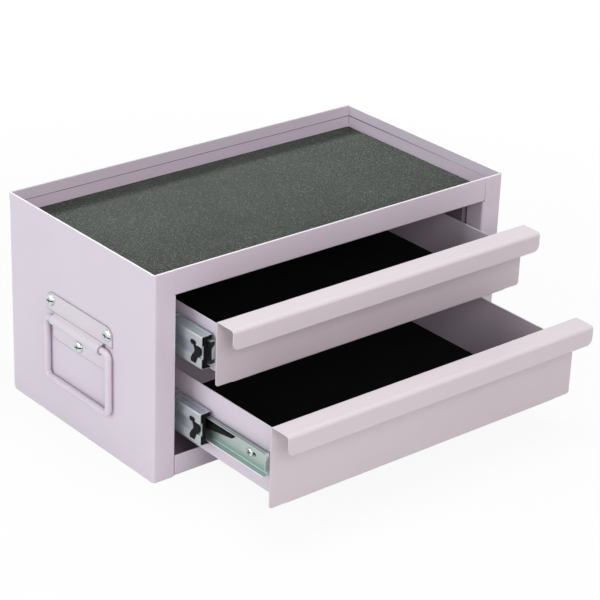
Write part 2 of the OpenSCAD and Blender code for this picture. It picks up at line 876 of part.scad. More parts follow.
// Waste of the slot that runs forwards from a drawer's front screw
module screw_slot_cut(x0, x1, z) {
    y = member_screw_ys[0];
    x_cylinder(x0, x1, slide_hole_d, y - screw_slot, z);
    block([x0, y - screw_slot, z - slide_hole_d / 2], [x1, y, z + slide_hole_d / 2]);
}

// Drawer member of a slide, with its end tab and the lever's pivot stud
module drawer_slide(side, top) {
    tab_half = tab_h / 2;
    tab_u = member_tip_u + slide_r;
    color(zinc) on_slide(side, top, drawer_out(top)) difference() {
        union() {
            along_y(member_y, slide_end) difference() {
                union() {
                    area([member_web_u, -member_half + slide_r], [slide_t, member_half - slide_r]);
                    for (s = [0, 1])
                        mirror([0, s]) {
                            translate([slide_t - slide_r, member_half - slide_r])
                                bend(slide_r, slide_steel, 0);
                            area([member_tip_u, member_half - slide_steel], [slide_t - slide_r, member_half]);
                        }
                }
                groove_pair(inner_ball_u, inner_ball_v, inner_groove_r);
            }
            along_y(member_y, member_y + slide_steel)
                polygon([
                    [tab_u, -tab_half],
                    [slide_t, -tab_half],
                    [slide_t, tab_half],
                    [tab_u + tab_chamfer, tab_half],
                    [tab_u, tab_half - tab_chamfer]
                ]);
            x_cylinder(head_gap_u, slide_t, stud_d, lever_pivot_y, lever_rise);
            x_cylinder(head_gap_u, head_gap_u + stud_head_h, stud_head_d, lever_pivot_y, lever_rise);
        }
        for (y = member_screw_ys)
            x_cylinder(member_web_u - cut, slide_t + cut, slide_hole_d, y, 0);
        screw_slot_cut(member_web_u - cut, slide_t + cut, 0);
    }
}

// Screws that hold a drawer to its two slides
module drawer_slide_screws(top) {
    color(steel)
        for (side = [-1, 1])
            on_slide(side, top, drawer_out(top))
                for (y = member_screw_ys)
                    translate([member_web_u, y, 0])
                        mirror([1, 0, 0])
                            slide_screw(slide_steel + drawer_t, drawer_head_d, drawer_head_h);
}

// Black release lever that turns on the drawer member's stud
module lever(side, top) {
    dy = lever_tip_y - lever_pivot_y;
    lean = atan2(lever_slope, -dy);
    span = sqrt(dy * dy + lever_slope * lever_slope);
    taper = asin((lever_r - lever_tip_r) / span);
    edge = [sin(taper), cos(taper)] * flank;
    color(black) on_slide(side, top, drawer_out(top)) difference() {
        along_x(lever_u, lever_u + lever_t)
            translate([lever_pivot_y, lever_rise])
                rotate(180 - lean)
                    union() {
                        circle(lever_r);
                        translate([span, 0])
                            circle(lever_tip_r);
                        polygon([
                            [lever_r * edge[0], -lever_r * edge[1]],
                            [span + lever_tip_r * edge[0], -lever_tip_r * edge[1]],
                            [span, 0] + lever_tip_r * edge,
                            lever_r * edge
                        ]);
                    }
        x_cylinder(lever_u - cut, lever_u + lever_t + cut, stud_d + 2 * stud_gap, lever_pivot_y, lever_rise);
    }
}

// Folded drawer trough: floor, two walls and front flanges
module drawer_box(top) {
    z0 = body_z(top);
    z1 = body_top(top);
    y0 = front_y + drawer_t;
    color(lilac) translate([0, -drawer_out(top), 0]) difference() {
        union() {
            along_y(y0, drawer_end - drawer_t) {
                area([-drawer_x + drawer_r, z0], [drawer_x - drawer_r, z0 + drawer_t]);
                for (s = [0, 1])
                    mirror([s, 0]) {
                        translate([-drawer_x + drawer_r, z0 + drawer_r])
                            bend(drawer_r, drawer_t, 2);
                        area([-drawer_x, z0 + drawer_r], [-drawer_x + drawer_t, z1]);
                    }
            }
            for (side = [-1, 1])
                on_side(side)
                    block([-drawer_x - drawer_flange, y0, z0 + floor_drop + drawer_r],
                          [-drawer_x + drawer_t, y0 + drawer_t, z1]);
        }
        for (side = [-1, 1])
            on_side(side) {
                for (y = member_screw_ys)
                    x_cylinder(-drawer_x - cut, -drawer_x + drawer_t + cut, slide_hole_d, y, slide_z(top));
                screw_slot_cut(-drawer_x - cut, -drawer_x + drawer_t + cut, slide_z(top));
            }
    }
}

// Back wall welded to the end of a drawer's trough
module drawer_back(top) {
    color(lilac) translate([0, -drawer_out(top), 0])
        along_y(drawer_end - drawer_t, drawer_end)
            rounded_area([-drawer_x, body_z(top)], [drawer_x, body_top(top)], [drawer_r, drawer_r, 0, 0]);
}

// Drawer front whose top is folded forwards and down into a full-width pull
module drawer_front(top) {
    z0 = top ? top_front_z : bottom_front_z;
    z1 = top ? top_front_top : bottom_front_top;
    lip_y = front_y - pull_depth;
    color(lilac) translate([0, -drawer_out(top), 0]) {
        along_y(front_y, front_y + drawer_t)
            rounded_area([-front_x, z0], [front_x, z1 - pull_back_r], [front_corner_r, front_corner_r, 0, 0]);
        along_x(-front_x, front_x) {
            area([front_y, z1 - pull_lip], [front_y + drawer_t, z1 - pull_back_r]);
            area([lip_y, z1 - pull_lip + lip_corner_r], [lip_y + drawer_t, z1 - pull_r]);
            translate([front_y + drawer_t - pull_back_r, z1 - pull_back_r])
                bend(pull_back_r, drawer_t, 0);
            area([lip_y + pull_r, z1 - drawer_t], [front_y + drawer_t - pull_back_r, z1]);
            translate([lip_y + pull_r, z1 - pull_r])
                bend(pull_r, drawer_t, 1);
        }
        along_y(lip_y, lip_y + drawer_t)
            rounded_area([-front_x, z1 - pull_lip], [front_x, z1 - pull_r],
                         [lip_corner_r, lip_corner_r, 0, 0]);
    }
}

// Black liner on a drawer's floor
module drawer_liner(top) {
    z0 = body_z(top) + drawer_t;
    inset = drawer_t + liner_gap;
    color(black) translate([0, -drawer_out(top), 0])
        block([-drawer_x + inset, front_y + drawer_t + inset, z0],
              [drawer_x - inset, drawer_end - inset, z0 + liner_t]);
}

// Handle plate: screw strip, half-round ridge over the bail and lower flange
module handle_plate(side) {
    strip_bottom = handle_z + shoulder_top;
    flange_top = handle_z - ridge_foot;
    lean = [-sin(shoulder_a), cos(shoulder_a)];
    color(lilac) on_side(side) difference() {
        union() {
            along_x(-half_w - plate_t, -half_w) {
                rounded_area([-plate_w / 2, strip_bottom], [plate_w / 2, handle_z + screw_up + plate_edge],
                             [0, 0, plate_corner_r, plate_corner_r]);
                rounded_area([-flange_w / 2, handle_z - screw_down - flange_edge], [flange_w / 2, flange_top],
                             [flange_corner_r, flange_corner_r, 0, 0]);
            }
            along_y(-ridge_w / 2, ridge_w / 2)
                translate([0, handle_z]) {
                    for (s = [0, 1])
                        mirror([0, s])
                            translate([-bail_x, 0])
                                bend(ridge_out_r, plate_t, 1);
                    polygon([
                        [-bail_x, 0] + lean * ridge_out_r * flank,
                        [-half_w - plate_t, shoulder_top],
                        [-half_w - plate_t, shoulder_top + plate_t],
                        [-half_w, shoulder_top + plate_t],
                        [-half_w, shoulder_low],
                        [-bail_x, 0] + lean * (ridge_in_r + bail_gap)
                    ]);
                    mirror([0, 1]) {
                        area([-bail_x, ridge_in_r], [-half_w - plate_t - plate_bend_r, ridge_out_r]);
                        translate([-half_w - plate_t - plate_bend_r, ridge_foot])
                            bend(plate_bend_r + plate_t, plate_t, 3);
                        area([-half_w - plate_t, ridge_foot], [-half_w, ridge_foot + plate_t]);
                    }
                }
        }
        for (s = plate_screws)
            x_cylinder(-half_w - plate_t - cut, -half_w + cut, screw_hole_d, s[0], handle_z + s[1]);
    }
}

// Wire bail that turns in the handle plate's ridge
module bail(side) {
    leg = bail_w / 2;
    color(lilac) on_side(side) translate([-bail_x, 0, handle_z]) {
        for (z = [0, -bail_drop])
            translate([0, -leg + bail_r, z])
                rotate([-90, 0, 0])
                    cylinder(h = 2 * (leg - bail_r), d = wire_d);
        for (s = [-1, 1])
            translate([0, s * leg, -bail_drop + bail_r])
                cylinder(h = bail_drop - 2 * bail_r, d = wire_d);
        for (a = [0:3])
            translate([0, (a == 0 || a == 3 ? 1 : -1) * (leg - bail_r), a < 2 ? -bail_r : bail_r - bail_drop])
                rotate([90 * a, 0, 0])
                    rotate([90, 0, 90])
                        rotate_extrude(angle = 90)
                            translate([bail_r, 0])
                                circle(d = wire_d);
        for (y = [-leg, leg], z = [-bail_r, bail_r - bail_drop])
            translate([0, y, z])
                sphere(d = wire_d / 2);
        for (y = [bail_r - leg, leg - bail_r], z = [0, -bail_drop])
            translate([0, y, z])
                sphere(d = wire_d / 2);
    }
}

// Pan-head screws of one handle, along X with their heads outside
module handle_screws(side) {
    edge = head_h / 2;
    color(steel) on_side(side)
        for (s = plate_screws)
            translate([-half_w - plate_t, s[0], handle_z + s[1]])
                rotate([0, -90, 0]) difference() {
                    union() {
                        rotate_extrude()
                            difference() {
                                area([0, 0], [head_d / 2, head_h]);
                                translate([head_d / 2 - edge, head_h - edge])
                                    corner_waste(edge, 0);
                            }
                        translate([0, 0, -screw_len])
                            cylinder(h = screw_len + edge, d = screw_d);
                    }
                    for (slot = [[slot_turn, head_d], [slot_turn + 90, cross_len]])
                        rotate(slot[0])
                            translate([-slot[1] / 2, -slot_w / 2, head_h - slot_depth])
                                cube([slot[1], slot_w, slot_depth + cut]);
                }
}

// Nuts of both handles, inside the side panels
module handle_nuts() {
    color(steel)
        for (side = [-1, 1])
            on_side(side)
                for (s = plate_screws)
                    difference() {
                        translate([-wall_x, s[0], handle_z + s[1]])
                            rotate([0, 90, 0])
                                cylinder(h = nut_t, d = nut_d, $fn = 6);
                        x_cylinder(-wall_x - cut, -wall_x + nut_t + cut, screw_d + hole_gap,
                                   s[0], handle_z + s[1]);
                    }
}

side_panel(-1);  // side_panel_left
side_panel(1);  // side_panel_right
back_panel();
base_pan();
front_rail();
tray_pan();
tray_mat();
upright(-1, front_upright_y, false);  // front_upright_left
upright(1, front_upright_y, false);  // front_upright_right
upright(-1, rear_upright_y, true);  // rear_upright_left
upright(1, rear_upright_y, true);  // rear_upright_right
fixed_slide(-1, true);  // fixed_slide_top_left
fixed_slide(1, true);  // fixed_slide_top_right
fixed_slide(-1, false);  // fixed_slide_bottom_left
fixed_slide(1, false);  // fixed_slide_bottom_right
fixed_slide_screws();
handle_plate(-1);  // handle_plate_left
handle_plate(1);  // handle_plate_right
handle_screws(-1);  // handle_screws_left
handle_screws(1);  // handle_screws_right
handle_nuts();
bail(-1);  // bail_left
bail(1);  // bail_right
runner(-1, true);  // runner_top_left
runner(1, true);  // runner_top_right
runner(-1, false);  // runner_bottom_left
runner(1, false);  // runner_bottom_right
retainer(-1, true);  // retainer_top_left
retainer(1, true);  // retainer_top_right
retainer(-1, false);  // retainer_bottom_left
retainer(1, false);  // retainer_bottom_right
outer_cages(true);  // outer_cages_top
outer_cages(false);  // outer_cages_bottom
outer_balls(true);  // outer_balls_top
outer_balls(false);  // outer_balls_bottom
inner_cages(true);  // inner_cages_top
inner_cages(false);  // inner_cages_bottom
inner_balls(true);  // inner_balls_top
inner_balls(false);  // inner_balls_bottom
drawer_box(true);  // drawer_box_top
drawer_box(false);  // drawer_box_bottom
drawer_back(true);  // drawer_back_top
drawer_back(false);  // drawer_back_bottom
drawer_front(true);  // drawer_front_top
drawer_front(false);  // drawer_front_bottom
drawer_liner(true);  // drawer_liner_top
drawer_liner(false);  // drawer_liner_bottom
drawer_slide(-1, true);  // drawer_slide_top_left
drawer_slide(1, true);  // drawer_slide_top_right
drawer_slide(-1, false);  // drawer_slide_bottom_left
drawer_slide(1, false);  // drawer_slide_bottom_right
drawer_slide_screws(true);  // drawer_slide_screws_top
drawer_slide_screws(false);  // drawer_slide_screws_bottom
lever(-1, true);  // lever_top_left
lever(1, true);  // lever_top_right
lever(-1, false);  // lever_bottom_left
lever(1, false);  // lever_bottom_right
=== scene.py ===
"""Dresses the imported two-drawer tool chest: finishes, small fittings, studio and camera."""
import json
import logging
import math
from dataclasses import dataclass, field
from enum import Enum
from typing import Any, Callable, ClassVar, Iterable, Sequence

import bmesh
import bpy
from mathutils import Matrix, Vector


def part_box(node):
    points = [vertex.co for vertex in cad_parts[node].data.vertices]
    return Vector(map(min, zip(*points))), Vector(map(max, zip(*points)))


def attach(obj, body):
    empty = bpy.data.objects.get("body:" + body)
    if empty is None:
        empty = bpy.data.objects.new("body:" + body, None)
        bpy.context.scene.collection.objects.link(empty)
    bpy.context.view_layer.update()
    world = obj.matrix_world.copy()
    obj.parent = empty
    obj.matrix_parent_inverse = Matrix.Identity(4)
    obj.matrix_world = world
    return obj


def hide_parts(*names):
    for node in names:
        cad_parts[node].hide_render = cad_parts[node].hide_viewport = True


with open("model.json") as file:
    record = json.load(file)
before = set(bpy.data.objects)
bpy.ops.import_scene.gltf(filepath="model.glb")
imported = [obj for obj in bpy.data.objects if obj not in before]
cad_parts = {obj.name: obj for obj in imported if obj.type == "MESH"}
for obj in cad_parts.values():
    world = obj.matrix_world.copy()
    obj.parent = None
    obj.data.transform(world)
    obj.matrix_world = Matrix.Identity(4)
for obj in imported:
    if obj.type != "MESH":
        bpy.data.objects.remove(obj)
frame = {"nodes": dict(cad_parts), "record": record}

Material = bpy.types.Material
Node = bpy.types.Node
Piece = bpy.types.Object
Socket = bpy.types.NodeSocket
Tree = bpy.types.NodeTree

MM = 0.001
# Points nearer than this, in metres, count as one
SNAP = 1e-6
# Least share of a unit direction along an axis that counts as lying along it
ALONG = 0.99
WHITE = (1.0, 1.0, 1.0, 1.0)
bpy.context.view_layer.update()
LOG = logging.getLogger("tool_chest")


class Side(Enum):
    """The two sides of the chest, with the sign of their X."""

    LEFT = -1
    RIGHT = 1


class Level(Enum):
    """The two drawers, by the word in their nodes' names."""

    TOP = "top"
    BOTTOM = "bottom"


# How far each drawer is open at rest, in millimetres
DRAWER_OUT = {Level.TOP: 68.4, Level.BOTTOM: 162.9}
# Height of the middle of each drawer's slides, in millimetres
SLIDE_Z = {Level.TOP: 163.2, Level.BOTTOM: 70.55}


class Pick(Enum):
    """What an edit-mode selection is made of."""

    EDGES = "EDGE"
    FACES = "FACE"


class Slot(Enum):
    """The record's material slots."""

    PAINT = "lilac_paint"
    MAT = "tray_mat"
    LINER = "drawer_liner"
    SLIDE = "zinc_slide"
    BALL = "ball_steel"
    PLASTIC = "black_plastic"
    SCREW = "zinc_screw"


@dataclass(frozen=True)
class Tint:
    """A colour in screen values from 0 to 255."""

    red: int
    green: int
    blue: int

    def rgba(self) -> tuple[float, ...]:
        """Returns the colour as linear light, by the standard curve of screens, with full alpha."""
        parts = [v / 255 for v in (self.red, self.green, self.blue)]
        return (*(v / 12.92 if v <= 0.04045 else ((v + 0.055) / 1.055) ** 2.4 for v in parts), 1.0)


@dataclass(frozen=True)
class Relief:
    """A bump: its depth in millimetres and its strength."""

    depth: float
    strength: float


class Wiring:
    """Adds and joins the nodes of one shader tree."""

    def __init__(self, tree: Tree) -> None:
        """Keeps the material's, world's or group's node tree."""
        self.tree = tree

    def add(self, kind: str, settings: dict[str, Any] | None = None, **inputs: Any) -> Node:
        """Adds one node.

        Args:
            kind: The node's type name without its ShaderNode prefix.
            settings: Properties to set on the node itself.
            inputs: Values or output sockets for its inputs, with _ for a space in the socket's name.

        Returns:
            The new node.
        """
        node = self.tree.nodes.new("ShaderNode" + kind)
        for key, value in (settings or {}).items():
            setattr(node, key, value)
        for key, value in inputs.items():
            self.feed(node.inputs[key.replace("_", " ")], value)
        return node

    def feed(self, socket: Socket, value: Any) -> None:
        """Links an output to a socket, or sets its value.

        Args:
            socket: The input to feed.
            value: An output socket, or a plain value.
        """
        if isinstance(value, Socket):
            self.tree.links.new(value, socket)
        else:
            socket.default_value = value

    def math(self, operation: str, first: Any, second: Any = 0.0, clamp: bool = False) -> Socket:
        """Adds a Math node.

        Args:
            operation: The node's operation.
            first: Its first value or link.
            second: Its second value or link.
            clamp: Whether the result is held from 0 to 1.

        Returns:
            The node's value socket.
        """
        node = self.add("Math", {"operation": operation, "use_clamp": clamp})
        self.feed(node.inputs[0], first)
        self.feed(node.inputs[1], second)
        return node.outputs[0]

    def mix(self, share: Socket, first: Node, second: Node) -> Socket:
        """Mixes two shaders by a mask.

        Args:
            share: The mask, 0 for the first shader and 1 for the second.
            first: The first shader's node.
            second: The second shader's node.

        Returns:
            The mixed shader's socket.
        """
        node = self.add("MixShader")
        for socket, value in zip(node.inputs, (share, first.outputs[0], second.outputs[0])):
            self.feed(socket, value)
        return node.outputs[0]

    def remap(self, value: Socket, target: Sequence[float], source: Sequence[float] = (0.0, 1.0)) -> Socket:
        """Maps a value from one range to another and holds it at the ends.

        Args:
            value: The value's socket.
            target: What the range's two ends become.
            source: The range's two ends.

        Returns:
            The mapped value's socket.
        """
        node = self.add("MapRange", Value=value)
        labels = ("From Min", "From Max", "To Min", "To Max")
        for label, number in zip(labels, (*source, *target)):
            node.inputs[label].default_value = number
        return node.outputs[0]


class Effects:
    """The shader node groups that the finishes share, each built once."""

    # Soft edges: samples of the rounding, and how fast the mask grows with it
    EDGE_SAMPLES: ClassVar[int] = 6
    EDGE_GAIN: ClassVar[float] = 6.0
    # Streaks: share of the lines in the tone, and scale of the clouds that make up the rest
    LINE_SHARE: ClassVar[float] = 0.6
    CLOUD_SCALE: ClassVar[float] = 60.0
    # Flecks: radius as a share of their cells
    FLECK_R: ClassVar[float] = 0.42

    def __init__(self) -> None:
        """Builds the groups."""
        self.soft_edges = self._soft_edges()
        self.peel = self._peel()
        self.streaks = self._streaks()
        self.flecks = self._flecks()

    @staticmethod
    def _group(name: str, takes: dict[str, str], gives: dict[str, str]) -> tuple[Tree, Wiring, Node, Node]:
        """Starts a node group.

        Args:
            name: The group's name.
            takes: Input names and socket types.
            gives: Output names and socket types.

        Returns:
            The group, its wiring, and its input and output nodes.
        """
        tree = bpy.data.node_groups.new(name, "ShaderNodeTree")
        for words, way in ((takes, "INPUT"), (gives, "OUTPUT")):
            for label, kind in words.items():
                tree.interface.new_socket(label, in_out=way, socket_type="NodeSocket" + kind)
        start = tree.nodes.new("NodeGroupInput")
        end = tree.nodes.new("NodeGroupOutput")
        return tree, Wiring(tree), start, end

    def _soft_edges(self) -> Tree:
        """Builds the group that rounds sharp edges in the shading and masks them.

        Returns:
            The group.
        """
        tree, wires, start, end = self._group(
            "soft edges", {"Radius": "Float"}, {"Normal": "Vector", "Mask": "Float"})
        rounded = wires.add("Bevel", {"samples": self.EDGE_SAMPLES}, Radius=start.outputs["Radius"])
        flat = wires.add("NewGeometry")
        dot = wires.add("VectorMath", {"operation": "DOT_PRODUCT"})
        wires.feed(dot.inputs[0], rounded.outputs[0])
        wires.feed(dot.inputs[1], flat.outputs["Normal"])
        turned = wires.math("SUBTRACT", 1.0, dot.outputs["Value"], clamp=True)
        wires.feed(end.inputs["Normal"], rounded.outputs[0])
        wires.feed(end.inputs["Mask"], wires.math("MULTIPLY", turned, self.EDGE_GAIN, clamp=True))
        return tree

    def _peel(self) -> Tree:
        """Builds the group of a sprayed or moulded skin: fine height, and slow drift of tone.

        Returns:
            The group.
        """
        tree, wires, start, end = self._group(
            "skin peel", {"Vector": "Vector", "Grain": "Float", "Drift": "Float"},
            {"Height": "Float", "Tone": "Float"})
        place = start.outputs["Vector"]
        fine = wires.add("TexNoise", Vector=place, Scale=start.outputs["Grain"], Detail=2.0)
        slow = wires.add("TexNoise", Vector=place, Scale=start.outputs["Drift"], Detail=4.0)
        wires.feed(end.inputs["Height"], fine.outputs[0])
        wires.feed(end.inputs["Tone"], slow.outputs[0])
        return tree

    def _streaks(self) -> Tree:
        """Builds the group of fine lines that run from front to back on drawn steel.

        Returns:
            The group.
        """
        tree, wires, start, end = self._group(
            "drawn streaks", {"Vector": "Vector", "Across": "Float", "Along": "Float"},
            {"Height": "Float", "Tone": "Float"})
        across = start.outputs["Across"]
        stretch = wires.add("CombineXYZ", X=across, Y=start.outputs["Along"], Z=across)
        scaled = wires.add("VectorMath", {"operation": "MULTIPLY"})
        wires.feed(scaled.inputs[0], start.outputs["Vector"])
        wires.feed(scaled.inputs[1], stretch.outputs[0])
        lines = wires.add("TexNoise", Vector=scaled.outputs[0], Scale=1.0, Detail=3.0)
        cloud = wires.add("TexNoise", Vector=start.outputs["Vector"], Scale=self.CLOUD_SCALE, Detail=3.0)
        wires.feed(end.inputs["Height"], lines.outputs[0])
        drawn = wires.math("MULTIPLY", lines.outputs[0], self.LINE_SHARE)
        stained = wires.math("MULTIPLY", cloud.outputs[0], 1 - self.LINE_SHARE)
        wires.feed(end.inputs["Tone"], wires.math("ADD", drawn, stained))
        return tree

    def _flecks(self) -> Tree:
        """Builds the group of scattered light flecks in a rubber or foam sheet.

        Returns:
            The group.
        """
        tree, wires, start, end = self._group(
            "scattered flecks", {"Vector": "Vector", "Scale": "Float", "Share": "Float"},
            {"Mask": "Float", "Tone": "Float"})
        cells = wires.add("TexVoronoi", Vector=start.outputs["Vector"], Scale=start.outputs["Scale"])
        parts = wires.add("SeparateColor", Color=cells.outputs["Color"])
        chosen = wires.math("LESS_THAN", parts.outputs[0], start.outputs["Share"])
        near = wires.math("LESS_THAN", cells.outputs["Distance"], self.FLECK_R)
        wires.feed(end.inputs["Mask"], wires.math("MULTIPLY", chosen, near))
        wires.feed(end.inputs["Tone"], parts.outputs[1])
        return tree


class Skin:
    """One material under way: its wiring, object coordinates, soft edges and principled shader."""

    # Places of the mask and the two colours among a Mix node's inputs, and of the colour among its outputs
    MIX_IN: ClassVar[tuple[int, int, int]] = (0, 6, 7)
    MIX_OUT: ClassVar[int] = 2

    def __init__(self, name: str, effects: Effects, edge_r: float) -> None:
        """Starts the material.

        Args:
            name: The material's name.
            effects: The shared node groups.
            edge_r: The soft edges' radius in millimetres, or 0 for none.
        """
        self.material = bpy.data.materials.new(name)
        self.material.use_nodes = True
        self.effects = effects
        self.wires = Wiring(self.material.node_tree)
        self.shader = self.material.node_tree.nodes["Principled BSDF"]
        self.place = self.wires.add("TexCoord").outputs["Object"]
        self.edges = self.group(effects.soft_edges, Radius=edge_r * MM) if edge_r else None

    def group(self, tree: Tree, **inputs: Any) -> Node:
        """Places a shared group with values or links for its inputs, and returns its node."""
        return self.wires.add("Group", {"node_tree": tree}, **inputs)

    def axes(self) -> Iterable[Socket]:
        """Returns the sockets of the object coordinates' X, Y and Z."""
        return self.wires.add("SeparateXYZ", Vector=self.place).outputs

    def flecks(self, scale: float, cells: float) -> Node:
        """Returns a fleck group's node, given its scale and the share of cells that hold a fleck."""
        return self.group(self.effects.flecks, Vector=self.place, Scale=scale, Share=cells)

    def tone(self, mask: Socket, under: Tint | Socket, over: Tint, share: float = 1.0) -> Socket:
        """Lays a tint over a colour by a mask.

        Args:
            mask: Where the tint shows.
            under: The colour.
            over: The tint.
            share: How much of the tint shows where the mask is full.

        Returns:
            The mixed colour's socket.
        """
        if share != 1.0:
            mask = self.wires.math("MULTIPLY", mask, share)
        first = under.rgba() if isinstance(under, Tint) else under
        node = self.wires.add("Mix", {"data_type": "RGBA"})
        for place, value in zip(self.MIX_IN, (mask, first, over.rgba())):
            self.wires.feed(node.inputs[place], value)
        return node.outputs[self.MIX_OUT]

    def bump(self, height: Socket, relief: Relief) -> None:
        """Bumps the shader's normal, on top of the soft edges.

        Args:
            height: The height's socket.
            relief: The bump's depth and strength.
        """
        node = self.wires.add("Bump", Strength=relief.strength, Distance=relief.depth * MM, Height=height)
        if self.edges:
            self.wires.feed(node.inputs["Normal"], self.edges.outputs["Normal"])
        self.set(Normal=node.outputs[0])

    def set(self, **inputs: Any) -> None:
        """Feeds the shader's sockets, with _ for a space in a socket's name."""
        for key, value in inputs.items():
            self.wires.feed(self.shader.inputs[key.replace("_", " ")], value)


@dataclass(frozen=True)
class Finish:
    """One kind of surface, whose tone drifts between two tints. Lengths are in millimetres.

    Its pattern has a fine scale and a slow one. The relief follows the pattern's height, and so does the
    roughness unless a finish names another output of the pattern for it.
    """

    ROUGH_BY: ClassVar[str] = "Height"

    name: str
    tint: Tint
    deep: Tint
    fine: float
    slow: float
    rough: tuple[float, float]
    relief: Relief
    edge_r: float = 0.0
    specular: float = 0.5
    metallic: float = 0.0

    def pattern(self, skin: Skin) -> Node:
        """Returns the node of the surface's pattern, here a peel."""
        return skin.group(skin.effects.peel, Vector=skin.place, Grain=self.fine, Drift=self.slow)

    def paint(self, skin: Skin, coat: Socket) -> Socket:
        """Returns the colour with what the finish lays over its two tints, here nothing."""
        return coat

    def material(self, effects: Effects) -> Material:
        """Builds the finish.

        Args:
            effects: The shared node groups.

        Returns:
            The finish as a material.
        """
        skin = Skin(self.name, effects, self.edge_r)
        made = self.pattern(skin).outputs
        coat = self.paint(skin, skin.tone(made["Tone"], self.tint, self.deep))
        skin.set(Base_Color=coat, Roughness=skin.wires.remap(made[self.ROUGH_BY], self.rough),
                 Specular_IOR_Level=self.specular, Metallic=self.metallic)
        skin.bump(made["Height"], self.relief)
        return skin.material


@dataclass(frozen=True)
class PowderCoat(Finish):
    """Satin powder coat on folded sheet, with a fine orange peel.

    Its sharp edges get an edge tint by the soft edges' mask: a painted highlight with a light tint, painted
    shade with a dark one. Above a given height it has the tint of a rim, which comes in between two places
    from front to
    back: a painted highlight along the top hems of the sides and the front rail, and a painted shadow line
    under the back hem on the tray's wall. By default the places lie in front of the chest, so that the whole
    rim has it.
    """

    name: str = "lilac powder coat"
    tint: Tint = Tint(214, 204, 215)
    deep: Tint = Tint(210, 199, 211)
    fine: float = 700.0
    slow: float = 9.0
    rough: tuple[float, float] = (0.34, 0.46)
    relief: Relief = Relief(0.05, 0.22)
    edge_r: float = 0.9
    specular: float = 0.42
    # Painted highlight along sharp edges, by the soft edges' mask
    edge: Tint = Tint(243, 238, 244)
    edge_light_and_shade_share: float = 0.75
    # Painted highlight along the top hem, above the rim's height
    rim: Tint = Tint(247, 242, 248)
    rim_z: float = 0.0
    rim_y: tuple[float, float] = (-400.0, -300.0)

    def paint(self, skin: Skin, coat: Socket) -> Socket:
        """Lays the painted light and shade of the edges and the rim over the colour.

        Args:
            skin: The material under way.
            coat: The colour.

        Returns:
            The colour with both.
        """
        # Painted light and shade along sharp edges, by the edge tint
        coat = skin.tone(skin.edges.outputs["Mask"], coat, self.edge, self.edge_light_and_shade_share)
        # Painted rim tint above the given height, coming in between the two places from front to back
        if self.rim_z:
            _, y, z = skin.axes()
            above = skin.wires.math("GREATER_THAN", z, self.rim_z * MM)
            behind = skin.wires.remap(y, (0.0, 1.0), [v * MM for v in self.rim_y])
            coat = skin.tone(skin.wires.math("MULTIPLY", above, behind), coat, self.rim)
        return coat


@dataclass(frozen=True)
class ZincPlate(Finish):
    """Zinc-plated rolled steel of the slides, with streaks that are fine across it and slow along it.

    Its sharp edges get a painted highlight. Inside a given distance from the chest's middle plane it gets
    painted shade, which darkens the runner's recess. Where a member's middle height is given, it gets
    painted shade on the upper flange, a painted highlight on the lower one and painted shade in the lower
    half of the web.
    """

    ROUGH_BY: ClassVar[str] = "Tone"

    name: str = "zinc slide plate"
    tint: Tint = Tint(198, 210, 207)
    deep: Tint = Tint(164, 178, 176)
    fine: float = 2200.0
    slow: float = 26.0
    rough: tuple[float, float] = (0.28, 0.46)
    relief: Relief = Relief(0.03, 0.25)
    edge_r: float = 0.45
    metallic: float = 0.85
    # Painted highlight along sharp edges
    edge: Tint = Tint(240, 247, 245)
    edge_light_and_shade_share: float = 0.7
    # Painted shade on the runner's recess, inside the given distance from the middle plane
    recess_shade: Tint = Tint(194, 202, 210)
    recess_shade_x: float = 0.0
    recess_shade_share: float = 0.8
    middle_z: float = 0.0
    # Painted shade on the upper flange, above the given height over the member's middle
    head: Tint = Tint(138, 143, 146)
    upper_flange_shade_z: float = 14.1
    # Painted highlight on the lower flange, below the given height under the member's middle
    lower_flange_highlight: Tint = Tint(255, 255, 253)
    lower_flange_highlight_z: float = -13.6
    # Painted shade in the lower half of the web, growing downwards between the given heights
    web_shade: Tint = Tint(164, 184, 177)
    web_shade_z: tuple[float, float] = (2.0, -7.0)
    web_shade_share: float = 0.8

    def pattern(self, skin: Skin) -> Node:
        """Returns the node of the surface's pattern, here streaks."""
        return skin.group(skin.effects.streaks, Vector=skin.place, Across=self.fine, Along=self.slow)

    def paint(self, skin: Skin, coat: Socket) -> Socket:
        """Lays the painted shade of the recess, the web and the upper flange, and the painted highlights of
        the lower flange and the edges, over the colour.

        Args:
            skin: The material under way.
            coat: The colour.

        Returns:
            The colour with all of them.
        """
        wires = skin.wires
        x, _, z = skin.axes()
        # Painted shade on the runner's recess
        if self.recess_shade_x:
            inside = wires.math("LESS_THAN", wires.math("ABSOLUTE", x), self.recess_shade_x * MM)
            coat = skin.tone(inside, coat, self.recess_shade, self.recess_shade_share)
        # Painted shade on the web and the upper flange, painted highlight on the lower flange
        if self.middle_z:
            up = wires.math("SUBTRACT", z, self.middle_z * MM)
            low = wires.remap(up, (0.0, self.web_shade_share), [v * MM for v in self.web_shade_z])
            coat = skin.tone(low, coat, self.web_shade)
            coat = skin.tone(wires.math("GREATER_THAN", up, self.upper_flange_shade_z * MM), coat, self.head)
            coat = skin.tone(wires.math("LESS_THAN", up, self.lower_flange_highlight_z * MM), coat, self.lower_flange_highlight)
        # Painted highlight along sharp edges
        return skin.tone(skin.edges.outputs["Mask"], coat, self.edge, self.edge_light_and_shade_share)


